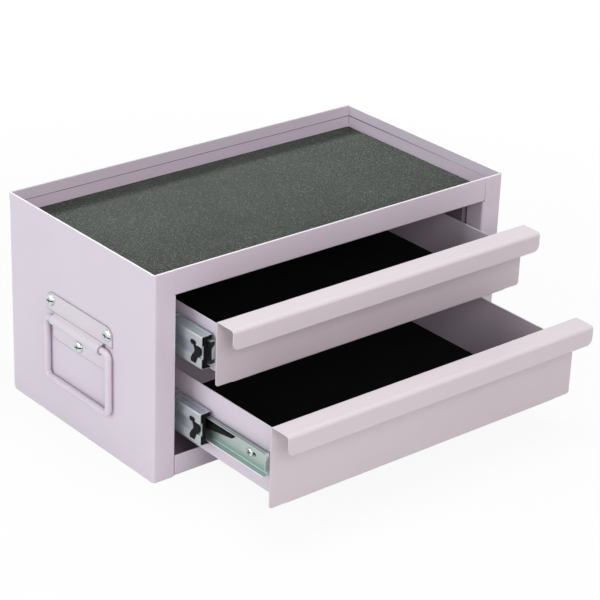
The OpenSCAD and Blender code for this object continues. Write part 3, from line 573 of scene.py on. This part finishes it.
@dataclass(frozen=True)
class BrightZinc(Finish):
    """Bright zinc plate of screws and nuts, with painted shade in their driving slots."""

    ROUGH_BY: ClassVar[str] = "Tone"

    name: str = "bright zinc screw"
    tint: Tint = Tint(226, 236, 233)
    deep: Tint = Tint(184, 196, 194)
    fine: float = 1800.0
    slow: float = 420.0
    rough: tuple[float, float] = (0.16, 0.34)
    relief: Relief = Relief(0.02, 0.2)
    edge_r: float = 0.2
    metallic: float = 1.0
    # Painted shade in the driving slots
    slot: Tint = Tint(84, 79, 73)

    def paint(self, skin: Skin, coat: Socket) -> Socket:
        """Returns the colour with the slots' painted shade laid over it."""
        inside = skin.wires.add("Attribute", {"attribute_name": PanScrew.SLOT_MARK}).outputs["Fac"]
        return skin.tone(inside, coat, self.slot)


@dataclass(frozen=True)
class BallSteel(Finish):
    """Polished bearing steel with a film of grease as its deep tint."""

    ROUGH_BY: ClassVar[str] = "Tone"

    name: str = "polished ball steel"
    tint: Tint = Tint(224, 226, 228)
    deep: Tint = Tint(188, 186, 176)
    fine: float = 2600.0
    slow: float = 300.0
    rough: tuple[float, float] = (0.05, 0.2)
    relief: Relief = Relief(0.005, 0.1)
    metallic: float = 1.0


@dataclass(frozen=True)
class BlackPlastic(Finish):
    """Black moulded plastic with a fine spark-eroded grain, and a painted highlight along its sharp edges.
    """

    name: str = "black moulded plastic"
    tint: Tint = Tint(17, 17, 18)
    deep: Tint = Tint(10, 10, 11)
    fine: float = 2400.0
    slow: float = 120.0
    rough: tuple[float, float] = (0.46, 0.64)
    relief: Relief = Relief(0.03, 0.3)
    edge_r: float = 0.4
    specular: float = 0.14
    # Painted highlight along sharp edges
    edge: Tint = Tint(56, 57, 60)
    edge_light_and_shade_share: float = 0.35

    def paint(self, skin: Skin, coat: Socket) -> Socket:
        """Returns the colour with the edges' painted highlight laid over it."""
        return skin.tone(skin.edges.outputs["Mask"], coat, self.edge, self.edge_light_and_shade_share)


@dataclass(frozen=True)
class RibbedRubber(Finish):
    """Dark grey-green rubber of the tray's mat, mottled and flecked, with painted shade in its grooves.

    The grooves are what lies below a given height.
    """

    name: str = "ribbed grey rubber"
    tint: Tint = Tint(66, 69, 66)
    deep: Tint = Tint(27, 29, 27)
    fine: float = 900.0
    slow: float = 14.0
    rough: tuple[float, float] = (0.7, 0.9)
    relief: Relief = Relief(0.12, 0.5)
    specular: float = 0.2
    # Painted shade in the grooves, below the given height
    groove_shade: Tint = Tint(20, 21, 20)
    groove_shade_z: float = 222.95
    mottle_share: float = 0.8
    fleck: Tint = Tint(101, 106, 102)
    fleck_scale: float = 960.0
    fleck_cells: float = 0.34
    fleck_share: float = 0.7

    def paint(self, skin: Skin, coat: Socket) -> Socket:
        """Lays the painted shade of the grooves, and the tints of the mottles and the flecks, over the
        colour.

        Args:
            skin: The material under way.
            coat: The colour.

        Returns:
            The colour with all of them.
        """
        flecks = skin.flecks(self.fleck_scale, self.fleck_cells).outputs
        _, _, z = skin.axes()
        # Painted shade in the grooves
        coat = skin.tone(skin.wires.math("LESS_THAN", z, self.groove_shade_z * MM), coat, self.groove_shade)
        coat = skin.tone(flecks["Tone"], coat, self.deep, self.mottle_share)
        return skin.tone(flecks["Mask"], coat, self.fleck, self.fleck_share)


@dataclass(frozen=True)
class FoamLiner(Finish):
    """Black closed-cell foam sheet of the drawers."""

    name: str = "black foam liner"
    tint: Tint = Tint(14, 14, 15)
    deep: Tint = Tint(9, 9, 10)
    fine: float = 1100.0
    slow: float = 20.0
    rough: tuple[float, float] = (0.8, 0.98)
    relief: Relief = Relief(0.1, 0.4)
    specular: float = 0.12
    fleck: Tint = Tint(30, 30, 31)
    fleck_scale: float = 900.0
    fleck_cells: float = 0.1
    fleck_share: float = 0.5

    def paint(self, skin: Skin, coat: Socket) -> Socket:
        """Returns the colour with the flecks' tint laid over it."""
        flecks = skin.flecks(self.fleck_scale, self.fleck_cells).outputs
        return skin.tone(flecks["Mask"], coat, self.fleck, self.fleck_share)


class Finishes:
    """All finishes of the chest: one for each material slot, and those of nodes that have their own."""

    def __init__(self) -> None:
        """Builds each material once."""
        effects = Effects()
        kinds = {
            Slot.PAINT: PowderCoat(), Slot.MAT: RibbedRubber(), Slot.LINER: FoamLiner(),
            Slot.SLIDE: ZincPlate(), Slot.BALL: BallSteel(), Slot.PLASTIC: BlackPlastic(),
            Slot.SCREW: BrightZinc(),
        }
        self.made = {slot: finish.material(effects) for slot, finish in kinds.items()}
        own = self._own()
        built = {finish: finish.material(effects) for finish in dict.fromkeys(own.values())}
        self.special = {start: built[finish] for start, finish in own.items()}

    @staticmethod
    def _own() -> dict[str, Finish]:
        """Makes up the finishes that stand in for a slot's.

        Returns:
            The finishes, by the start of their nodes' names.
        """
        # Sides and front rail: a painted highlight along their top hems, above the given height
        rim = PowderCoat("lilac powder coat of the rim", rim_z=249.1)
        # A darker copy of the coat for the uprights inside the cabinet, with no edge highlight: painted
        # shade
        shaded_inside = PowderCoat(
            "lilac powder coat inside", tint=Tint(128, 118, 130), deep=Tint(120, 110, 122), edge_light_and_shade_share=0.0)
        return {
            "side_panel": rim,
            "front_rail": rim,
            "front_upright": shaded_inside,
            "rear_upright": shaded_inside,
            # The members and the runner get copies of the zinc tint made lighter and darker to follow how
            # each is lit: painted light and shade
            "drawer_slide_top": ZincPlate(
                "zinc upper member", tint=Tint(208, 220, 215), deep=Tint(178, 192, 188),
                middle_z=SLIDE_Z[Level.TOP]),
            "drawer_slide_bottom": ZincPlate(
                "zinc lower member", tint=Tint(200, 211, 207), deep=Tint(171, 184, 180),
                web_shade=Tint(168, 188, 181), middle_z=SLIDE_Z[Level.BOTTOM]),
            # No edge highlight, and a painted shadow line under the back hem: above the given height, coming
            # in towards the back
            "tray_pan": PowderCoat(
                "lilac powder coat of the tray", tint=Tint(213, 200, 214), deep=Tint(209, 195, 210),
                edge_light_and_shade_share=0.0, rim=Tint(120, 106, 121), rim_z=235.9, rim_y=(-80.0, 100.0)),
            # Painted shade along the back panel's edges, which darkens the line at its hem
            "back_panel": PowderCoat(
                "lilac powder coat of the back", edge=Tint(158, 140, 160), edge_light_and_shade_share=0.3),
            "drawer_front": PowderCoat(
                "lilac powder coat of the drawers", tint=Tint(213, 203, 209), deep=Tint(209, 198, 205)),
            # The plates' own greyer tint, and a painted shadow along their edges where they meet the sides
            "handle_plate": PowderCoat(
                "lilac powder coat of the handles", tint=Tint(214, 206, 214), deep=Tint(210, 201, 209),
                edge=Tint(118, 97, 122), edge_r=1.8, edge_light_and_shade_share=0.95),
            # The runner also gets painted shade on its recess, near the middle plane
            "runner": ZincPlate(
                "zinc runner plate", tint=Tint(216, 226, 224), deep=Tint(188, 198, 197), recess_shade_x=216.4),
        }

    def dress_nodes(self) -> None:
        """Gives every CAD node its slot's finish, or its own."""
        for part in frame["record"]["subparts"]:
            node = frame["nodes"][part["node"]]
            slot = Slot(part["material_slot"])
            own = [made for start, made in self.special.items() if part["node"].startswith(start)]
            self.dress(node, slot, *own)
            LOG.info("node %s: %s", part["node"], part["material_slot"])

    def dress(self, piece: Piece, slot: Slot, own: Material | None = None) -> None:
        """Puts a finish on a piece.

        Args:
            piece: The piece.
            slot: Whose finish it gets.
            own: A finish that it gets instead of the slot's.
        """
        finish = own or self.made[slot]
        if piece.material_slots:
            for place in piece.material_slots:
                place.material = finish
        else:
            piece.data.materials.append(finish)


class Bench:
    """One mesh piece under way, shaped with edit-mode operators and modifiers. Sizes are in metres."""

    def __init__(self, name: str) -> None:
        """Clears the selection for a new piece.

        Args:
            name: The piece's name.
        """
        self.name = name
        self.piece: Piece
        bpy.ops.object.select_all(action="DESELECT")

    def block(self, low: Vector, high: Vector) -> None:
        """Starts from a cube.

        Args:
            low: Its lowest corner.
            high: Its highest corner.
        """
        bpy.ops.mesh.primitive_cube_add(size=1, location=(low + high) / 2)
        bpy.context.object.scale = high - low
        self._settle()

    def drum(self, radius: float, low: float, high: float, sides: int) -> None:
        """Starts from a cylinder on the Z axis.

        Args:
            radius: Its radius.
            low: Its lower end.
            high: Its upper end.
            sides: How many sides it has.
        """
        bpy.ops.mesh.primitive_cylinder_add(
            vertices=sides, radius=radius, depth=high - low, location=(0, 0, (low + high) / 2))
        self._settle()

    def _settle(self) -> None:
        """Names the new primitive and puts its place into its mesh."""
        self.piece = bpy.context.object
        self.piece.name = self.name
        self.piece.data.name = self.name
        bpy.ops.object.transform_apply(location=True, rotation=True, scale=True)

    def edit(self) -> None:
        """Enters edit mode with nothing selected."""
        bpy.ops.object.mode_set(mode="EDIT")
        bpy.ops.mesh.select_all(action="DESELECT")

    def pick(self, kind: Pick, test: Callable[[Any], bool]) -> None:
        """Selects what passes a test.

        Args:
            kind: Edges or faces.
            test: Says whether one of them is taken.
        """
        bpy.ops.mesh.select_mode(type=kind.value)
        bpy.ops.mesh.select_all(action="DESELECT")
        mesh = bmesh.from_edit_mesh(self.piece.data)
        mesh.normal_update()
        for item in mesh.edges if kind is Pick.EDGES else mesh.faces:
            item.select_set(bool(test(item)))
        mesh.select_flush_mode()
        bmesh.update_edit_mesh(self.piece.data)

    def bevel(self, width: float, segments: int) -> None:
        """Rounds the selected edges."""
        bpy.ops.mesh.bevel(
            offset=width, offset_type="OFFSET", segments=segments, profile=0.5, affect="EDGES")

    def inset(self, width: float, depth: float = 0.0) -> None:
        """Insets the selected faces."""
        bpy.ops.mesh.inset(thickness=width, depth=depth)

    def extrude(self, move: tuple[float, float, float]) -> None:
        """Extrudes the selected faces."""
        bpy.ops.mesh.extrude_region_move(TRANSFORM_OT_translate={"value": move})

    def done(self, angle: float = 35.0) -> Piece:
        """Leaves edit mode and smooths the shading.

        Args:
            angle: Edges sharper than this stay sharp, in degrees.

        Returns:
            The finished piece.
        """
        if bpy.context.mode != "OBJECT":
            bpy.ops.mesh.select_all(action="SELECT")
            bpy.ops.mesh.normals_make_consistent(inside=False)
            bpy.ops.object.mode_set(mode="OBJECT")
        bpy.ops.object.shade_smooth_by_angle(angle=math.radians(angle))
        return self.piece

    def repeat(self, count: int, step: tuple[float, float, float]) -> None:
        """Repeats the piece in a row with an applied Array modifier.

        Args:
            count: How many there are in the row.
            step: The way from one to the next.
        """
        row = self.piece.modifiers.new("row", "ARRAY")
        row.count = count
        row.use_relative_offset = False
        row.use_constant_offset = True
        row.constant_offset_displace = step
        bpy.ops.object.modifier_apply(modifier=row.name)

    def cut(self, low: Vector, high: Vector) -> None:
        """Cuts a block out of the piece with an applied Boolean modifier.

        Args:
            low: The block's lowest corner.
            high: The block's highest corner.
        """
        waste = Bench("waste")
        waste.block(low, high)
        bpy.ops.object.select_all(action="DESELECT")
        self.piece.select_set(True)
        bpy.context.view_layer.objects.active = self.piece
        step = self.piece.modifiers.new("cut", "BOOLEAN")
        step.operation = "DIFFERENCE"
        step.solver = "EXACT"
        step.object = waste.piece
        bpy.ops.object.modifier_apply(modifier=step.name)
        bpy.data.objects.remove(waste.piece)

    def mark(self, name: str, test: Callable[[bpy.types.MeshPolygon], bool]) -> None:
        """Writes an attribute for the finishes: 1 on the faces that pass a test and 0 on the others."""
        values = [float(test(face)) for face in self.piece.data.polygons]
        self.piece.data.attributes.new(name, "FLOAT", "FACE").data.foreach_set("value", values)

    @staticmethod
    def copy(piece: Piece, name: str, place: Matrix) -> Piece:
        """Copies a piece with a mesh of its own.

        Args:
            piece: The piece to copy.
            name: The copy's name.
            place: Where the copy's mesh goes.

        Returns:
            The copy, with its object at the origin.
        """
        twin = bpy.data.objects.new(name, piece.data.copy())
        twin.data.name = name
        twin.data.transform(place)
        bpy.context.scene.collection.objects.link(twin)
        return twin

    @staticmethod
    def join(pieces: list[Piece], name: str) -> Piece:
        """Joins pieces into one.

        Args:
            pieces: The pieces.
            name: The joined piece's name.

        Returns:
            The joined piece.
        """
        bpy.ops.object.select_all(action="DESELECT")
        for piece in pieces:
            piece.select_set(True)
        bpy.context.view_layer.objects.active = pieces[0]
        bpy.ops.object.join()
        pieces[0].name = name
        pieces[0].data.name = name
        return pieces[0]


def upright(edge: bmesh.types.BMEdge) -> bool:
    """Returns whether an edge stands upright."""
    return abs((edge.verts[1].co - edge.verts[0].co).normalized().z) > ALONG


def at_height(edge: bmesh.types.BMEdge, z: float) -> bool:
    """Returns whether both ends of an edge lie at a height in metres."""
    return all(abs(v.co.z - z) < SNAP for v in edge.verts)


def settle(piece: Piece, body: str, slot: Slot, *nodes: str) -> None:
    """Makes a piece ride on a body and stand for CAD nodes.

    Args:
        piece: The piece.
        body: The body it moves with.
        slot: The record's material slot, which is not used.
        nodes: The nodes that it replaces.
    """
    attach(piece, body)
    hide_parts(*nodes)
    LOG.info("piece %s on %s stands for %s", piece.name, body, ", ".join(nodes))


@dataclass
class TrayMat:
    """Ribbed mat on the floor of the open tray. Sizes are in millimetres.

    The ribs' tops are rounded by a share of their height and smoothed below an angle in degrees.
    """

    corner_r: float = 2.5
    corner_steps: int = 5
    edge_r: float = 0.3
    edge_steps: int = 2
    margin: float = 1.4
    rib_pitch: float = 3.57
    rib_w: float = 2.0
    rib_h: float = 0.7
    rib_round: float = 0.8
    rib_angle: float = 50.0

    def build(self) -> Piece:
        """Models the sheet and its ribs.

        Returns:
            The mat.
        """
        low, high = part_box("tray_mat")
        top = high.z - self.rib_h * MM
        sheet = Bench("tray_mat_ribbed")
        sheet.block(low, Vector((high.x, high.y, top)))
        sheet.edit()
        sheet.pick(Pick.EDGES, upright)
        sheet.bevel(self.corner_r * MM, self.corner_steps)
        sheet.pick(Pick.EDGES, lambda e: at_height(e, top))
        sheet.bevel(self.edge_r * MM, self.edge_steps)
        sheet.done()
        margin = self.margin * MM
        rib = Bench("rib")
        rib.block(Vector((low.x + margin, low.y + margin, top - self.edge_r * MM)),
                  Vector((low.x + margin + self.rib_w * MM, high.y - margin, high.z)))
        rib.edit()
        rib.pick(Pick.EDGES, lambda e: at_height(e, high.z))
        rib.bevel(self.rib_h * self.rib_round * MM, self.edge_steps)
        rib.done(self.rib_angle)
        span = (high.x - low.x) / MM - 2 * self.margin - self.rib_w
        rib.repeat(int(span / self.rib_pitch) + 1, (self.rib_pitch * MM, 0, 0))
        return Bench.join([sheet.piece, rib.piece], "tray_mat_ribbed")

    def dress(self, piece: Piece, finishes: Finishes) -> None:
        """Finishes the mat and lays it in the cabinet."""
        finishes.dress(piece, Slot.MAT)
        settle(piece, "cabinet", Slot.MAT, "tray_mat")


@dataclass
class DrawerLiner:
    """Black foam sheet on a drawer's floor. Sizes are in millimetres."""

    level: Level
    corner_r: float = 5.0
    corner_steps: int = 6
    edge_r: float = 0.7
    edge_steps: int = 3

    def build(self) -> Piece:
        """Models the sheet with round corners and a soft top edge.

        Returns:
            The liner.
        """
        low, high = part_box(f"drawer_liner_{self.level.value}")
        sheet = Bench(f"liner_sheet_{self.level.value}")
        sheet.block(low, high)
        sheet.edit()
        sheet.pick(Pick.EDGES, upright)
        sheet.bevel(self.corner_r * MM, self.corner_steps)
        sheet.pick(Pick.EDGES, lambda e: at_height(e, high.z))
        sheet.bevel(self.edge_r * MM, self.edge_steps)
        return sheet.done()

    def dress(self, piece: Piece, finishes: Finishes) -> None:
        """Finishes the liner and lays it in its drawer."""
        finishes.dress(piece, Slot.LINER)
        settle(piece, f"{self.level.value}_drawer", Slot.LINER, f"drawer_liner_{self.level.value}")


@dataclass
class PanScrew:
    """Pan-head screw along +Z, its head's underside at the origin. Sizes are in millimetres.

    The dome is a share of the head's height. The crown gives the dome's steps, each as a share of the head's
    radius and a share of the dome. The brim lies beyond a share of the radius, and a share of its height is
    rounded. A slot is given as its length, width and depth, and every second one is turned by a right angle.
    """

    # Face attribute that marks the slots, where the screws' finish paints shade
    SLOT_MARK: ClassVar[str] = "driving_slot"

    name: str
    head_d: float
    head_h: float
    shank_d: float
    shank_len: float
    slots: tuple[tuple[float, float, float], ...]
    dome: float = 0.35
    crown: tuple[tuple[float, float], ...] = ((0.4, 0.75), (0.3, 0.25))
    brim: float = 0.9
    brim_round: float = 0.75
    brim_steps: int = 5
    sides: int = 40
    angle: float = 40.0
    over: float = 1.0

    def build(self) -> Piece:
        """Models the domed head, the shank and the slots.

        Returns:
            The screw.
        """
        radius, height = self.head_d / 2 * MM, self.head_h * MM
        rim = height * (1 - self.dome)
        screw = Bench(self.name)
        screw.drum(radius, 0.0, rim, self.sides)
        screw.edit()
        screw.pick(Pick.FACES, lambda f: f.normal.z > ALONG)
        for inward, rise in self.crown:
            screw.inset(radius * inward, height * self.dome * rise)
        brim = radius * self.brim
        screw.pick(Pick.EDGES, lambda e: at_height(e, rim) and min(v.co.xy.length for v in e.verts) > brim)
        screw.bevel(rim * self.brim_round, self.brim_steps)
        screw.pick(Pick.FACES, lambda f: f.normal.z < -ALONG)
        screw.inset(radius - self.shank_d / 2 * MM)
        screw.extrude((0, 0, -self.shank_len * MM))
        screw.done(self.angle)
        for turn, (length, width, depth) in enumerate(self.slots):
            half = [length / 2 * MM, width / 2 * MM]
            if turn % 2:
                half.reverse()
            screw.cut(Vector((-half[0], -half[1], height - depth * MM)),
                      Vector((half[0], half[1], height + self.over * MM)))
        screw.mark(self.SLOT_MARK, self._in_slot)
        return screw.done(self.angle)

    def _in_slot(self, face: bpy.types.MeshPolygon) -> bool:
        """Finds out whether a face is a wall or the floor of a slot.

        Args:
            face: The face.

        Returns:
            Whether it is one.
        """
        slack = SNAP / MM
        for turn, (length, width, depth) in enumerate(self.slots):
            along, across = (abs(v) / MM for v in (face.center.yx if turn % 2 else face.center.xy))
            deep = face.center.z / MM >= self.head_h - depth - slack
            if along <= length / 2 and across <= width / 2 + slack and deep:
                return True
        return False

    @staticmethod
    def seat(side: Side, x: float, y: float, z: float, turn: float) -> Matrix:
        """Works out where a screw goes that points out of one side of the chest.

        Args:
            side: The side.
            x: Its distance from the chest's middle plane, in millimetres.
            y: Its place from front to back, in millimetres.
            z: Its height, in millimetres.
            turn: How far the screw is turned on its axis, in degrees.

        Returns:
            The screw's place.
        """
        return (Matrix.Translation(Vector((side.value * x, y, z)) * MM)
                @ Matrix.Rotation(math.radians(90 * side.value), 4, "Y")
                @ Matrix.Rotation(math.radians(turn), 4, "Z"))


@dataclass
class HandleScrews:
    """The three screws of one carrying handle: Y, Z and turn of each.

    Sizes are in millimetres and degrees.
    """

    side: Side
    seat_x: float = 254.5
    places: tuple[tuple[float, float, float], ...] = (
        (-55.6, 147.6, -98.0), (55.6, 147.6, -84.0), (0.0, 111.0, -80.0))

    def build(self, screw: Piece) -> Piece:
        """Copies a screw to each place, each with its own turn.

        Args:
            screw: The screw.

        Returns:
            The copies as one piece.
        """
        word = self.side.name.lower()
        copies = []
        for i, (y, z, turn) in enumerate(self.places):
            place = PanScrew.seat(self.side, self.seat_x, y, z, turn)
            copies.append(Bench.copy(screw, f"handle_screw_{word}_{i}", place))
        return Bench.join(copies, f"handle_pan_screws_{word}")

    def dress(self, piece: Piece, finishes: Finishes) -> None:
        """Finishes the screws and sets them in the cabinet."""
        finishes.dress(piece, Slot.SCREW)
        settle(piece, "cabinet", Slot.SCREW, f"handle_screws_{self.side.name.lower()}")


@dataclass
class SlideScrews:
    """The four screws that hold one drawer to its slides: Y when closed and turn of each end's.

    Sizes are in millimetres and degrees.
    """

    level: Level
    seat_x: float = 202.2
    ends: tuple[tuple[float, float], ...] = ((-81.0, 18.0), (95.0, 40.0))

    def build(self, screw: Piece) -> Piece:
        """Copies a screw to each place.

        Args:
            screw: The screw.

        Returns:
            The copies as one piece.
        """
        copies = []
        for side in Side:
            for y, turn in self.ends:
                place = PanScrew.seat(
                    side, self.seat_x, y - DRAWER_OUT[self.level], SLIDE_Z[self.level], turn)
                copies.append(Bench.copy(screw, f"slide_screw_{self.level.value}", place))
        return Bench.join(copies, f"slide_pan_screws_{self.level.value}")

    def dress(self, piece: Piece, finishes: Finishes) -> None:
        """Finishes the screws and sets them in their drawer."""
        finishes.dress(piece, Slot.SCREW)
        settle(piece, f"{self.level.value}_drawer", Slot.SCREW, f"drawer_slide_screws_{self.level.value}")


@dataclass(frozen=True)
class Lamp:
    """One soft square lamp that faces the chest. Sizes are in metres."""

    name: str
    place: tuple[float, float, float]
    width: float
    watts: float
    tint: tuple[float, float, float]
    only: tuple[str, ...] = ()

    def build(self, target: Vector) -> None:
        """Hangs the lamp. Where pieces are named, it lights only them.

        Args:
            target: The point that it faces.
        """
        data = bpy.data.lights.new(self.name, "AREA")
        data.shape = "SQUARE"
        data.size = self.width
        data.energy = self.watts
        data.color = self.tint
        lamp = bpy.data.objects.new(self.name, data)
        lamp.location = self.place
        lamp.rotation_euler = (target - Vector(self.place)).to_track_quat("-Z", "Y").to_euler()
        bpy.context.scene.collection.objects.link(lamp)
        if self.only:
            lit = bpy.data.collections.new(f"lit by {self.name}")
            for piece in self.only:
                lit.objects.link(bpy.data.objects[piece])
            lamp.light_linking.receiver_collection = lit


@dataclass
class Studio:
    """Floor, white surroundings, lamps and camera of the picture.

    The camera's target, distance, lens and sensor are in millimetres, and all other lengths in metres.
    """

    ambient: float = 0.30
    floor_size: float = 9.0
    floor_share: float = 0.92
    floor_grey: float = 0.75
    fade: tuple[float, float] = (0.4, 1.0)
    target: tuple[float, float, float] = (65.353, 0.0, 81.163)
    azimuth: float = -40.246
    elevation: float = 25.277
    roll: float = 2.133
    distance: float = 2609.02
    lens: float = 129.65
    sensor: float = 36.0
    clip_end: float = 50.0
    lamp_target: tuple[float, float, float] = (0.0, 0.0, 0.12)
    lamps: tuple[Lamp, ...] = field(default_factory=lambda: (
        Lamp("left key", (-2.2, 0.4, 0.9), 1.3, 22.0, (0.94, 1.0, 1.01)),
        Lamp("front fill", (-0.9, -2.4, 1.5), 1.6, 33.0, (1.0, 0.92, 0.95)),
        Lamp("top light", (0.1, -0.2, 2.3), 1.2, 30.0, (0.95, 1.0, 0.97)),
        Lamp("tray light", (0.0, 3.05, 2.85), 0.7, 232.0, (0.94, 1.0, 0.95), ("tray_mat_ribbed",)),
    ))

    @staticmethod
    def _seen(wires: Wiring) -> Socket:
        """Masks the rays of the camera, gloss and glass, which see the white ground.

        Args:
            wires: The tree's wiring.

        Returns:
            The mask's socket, 1 for these rays.
        """
        path = wires.add("LightPath").outputs
        both = wires.math("ADD", path["Is Camera Ray"], path["Is Glossy Ray"], clamp=True)
        return wires.math("ADD", both, path["Is Transmission Ray"], clamp=True)

    def build(self) -> None:
        """Builds the whole set."""
        self._world()
        self._floor()
        for lamp in self.lamps:
            lamp.build(Vector(self.lamp_target))
            LOG.info("lamp %s", lamp.name)
        self._camera()

    def _world(self) -> None:
        """Makes the surroundings white to look at and softer as light."""
        world = bpy.data.worlds.new("white studio")
        bpy.context.scene.world = world
        world.use_nodes = True
        wires = Wiring(world.node_tree)
        world.node_tree.nodes.clear()
        light = wires.add("Background", Color=WHITE, Strength=self.ambient)
        white = wires.add("Background", Color=WHITE, Strength=1.0)
        wires.add("OutputWorld", Surface=wires.mix(self._seen(wires), light, white))

    def _floor(self) -> None:
        """Lays a white floor that keeps a faint shadow of the chest."""
        bpy.ops.object.select_all(action="DESELECT")
        bpy.ops.mesh.primitive_plane_add(size=self.floor_size, location=(0, 0, 0))
        floor = bpy.context.object
        floor.name = "studio_floor"
        material = bpy.data.materials.new("white floor")
        material.use_nodes = True
        wires = Wiring(material.node_tree)
        material.node_tree.nodes.clear()
        paper = wires.add("BsdfDiffuse", Color=(self.floor_grey, self.floor_grey, self.floor_grey, 1.0))
        glow = wires.add("Emission", Color=WHITE, Strength=1.0)
        far = wires.add("VectorMath", {"operation": "LENGTH"})
        wires.feed(far.inputs[0], wires.add("NewGeometry").outputs["Position"])
        reach = wires.remap(far.outputs["Value"], (self.floor_share, 1.0), self.fade)
        share = wires.math("MULTIPLY", self._seen(wires), reach)
        wires.add("OutputMaterial", Surface=wires.mix(share, paper, glow))
        floor.data.materials.append(material)

    def _camera(self) -> None:
        """Sets the camera at the photograph's angle."""
        az, el, roll = (math.radians(v) for v in (self.azimuth, self.elevation, self.roll))
        back = Vector((math.sin(az) * math.cos(el), -math.cos(az) * math.cos(el), math.sin(el)))
        right = Vector((math.cos(az), math.sin(az), 0.0))
        up = back.cross(right)
        axes = (right * math.cos(roll) + up * math.sin(roll),
                up * math.cos(roll) - right * math.sin(roll), back)
        data = bpy.data.cameras.new("picture")
        data.sensor_fit = "HORIZONTAL"
        data.sensor_width = self.sensor
        data.lens = self.lens
        data.clip_end = self.clip_end
        camera = bpy.data.objects.new("picture", data)
        place = Matrix(axes).transposed().to_4x4()
        place.translation = (Vector(self.target) + back * self.distance) * MM
        camera.matrix_world = place
        bpy.context.scene.collection.objects.link(camera)
        bpy.context.scene.camera = camera


def main() -> None:
    """Dresses the chest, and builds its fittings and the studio."""
    logging.basicConfig(level=logging.INFO, format="%(name)s: %(message)s")
    finishes = Finishes()
    finishes.dress_nodes()
    mat = TrayMat()
    mat.dress(mat.build(), finishes)
    for level in Level:
        liner = DrawerLiner(level)
        liner.dress(liner.build(), finishes)
    screw = PanScrew("handle_screw", head_d=14.2, head_h=3.7, shank_d=6.0, shank_len=8.3,
                     slots=((15.0, 1.5, 2.2), (6.0, 1.1, 1.0))).build()
    for side in Side:
        screws = HandleScrews(side)
        screws.dress(screws.build(screw), finishes)
    bpy.data.objects.remove(screw)
    screw = PanScrew("slide_screw", head_d=10.4, head_h=2.2, shank_d=4.0, shank_len=2.2,
                     slots=((5.4, 1.3, 1.3), (5.4, 1.3, 1.3))).build()
    for level in Level:
        fixings = SlideScrews(level)
        fixings.dress(fixings.build(screw), finishes)
    bpy.data.objects.remove(screw)
    Studio().build()
    bpy.context.scene.view_settings.view_transform = "Standard"


if __name__ == "__main__":
    main()
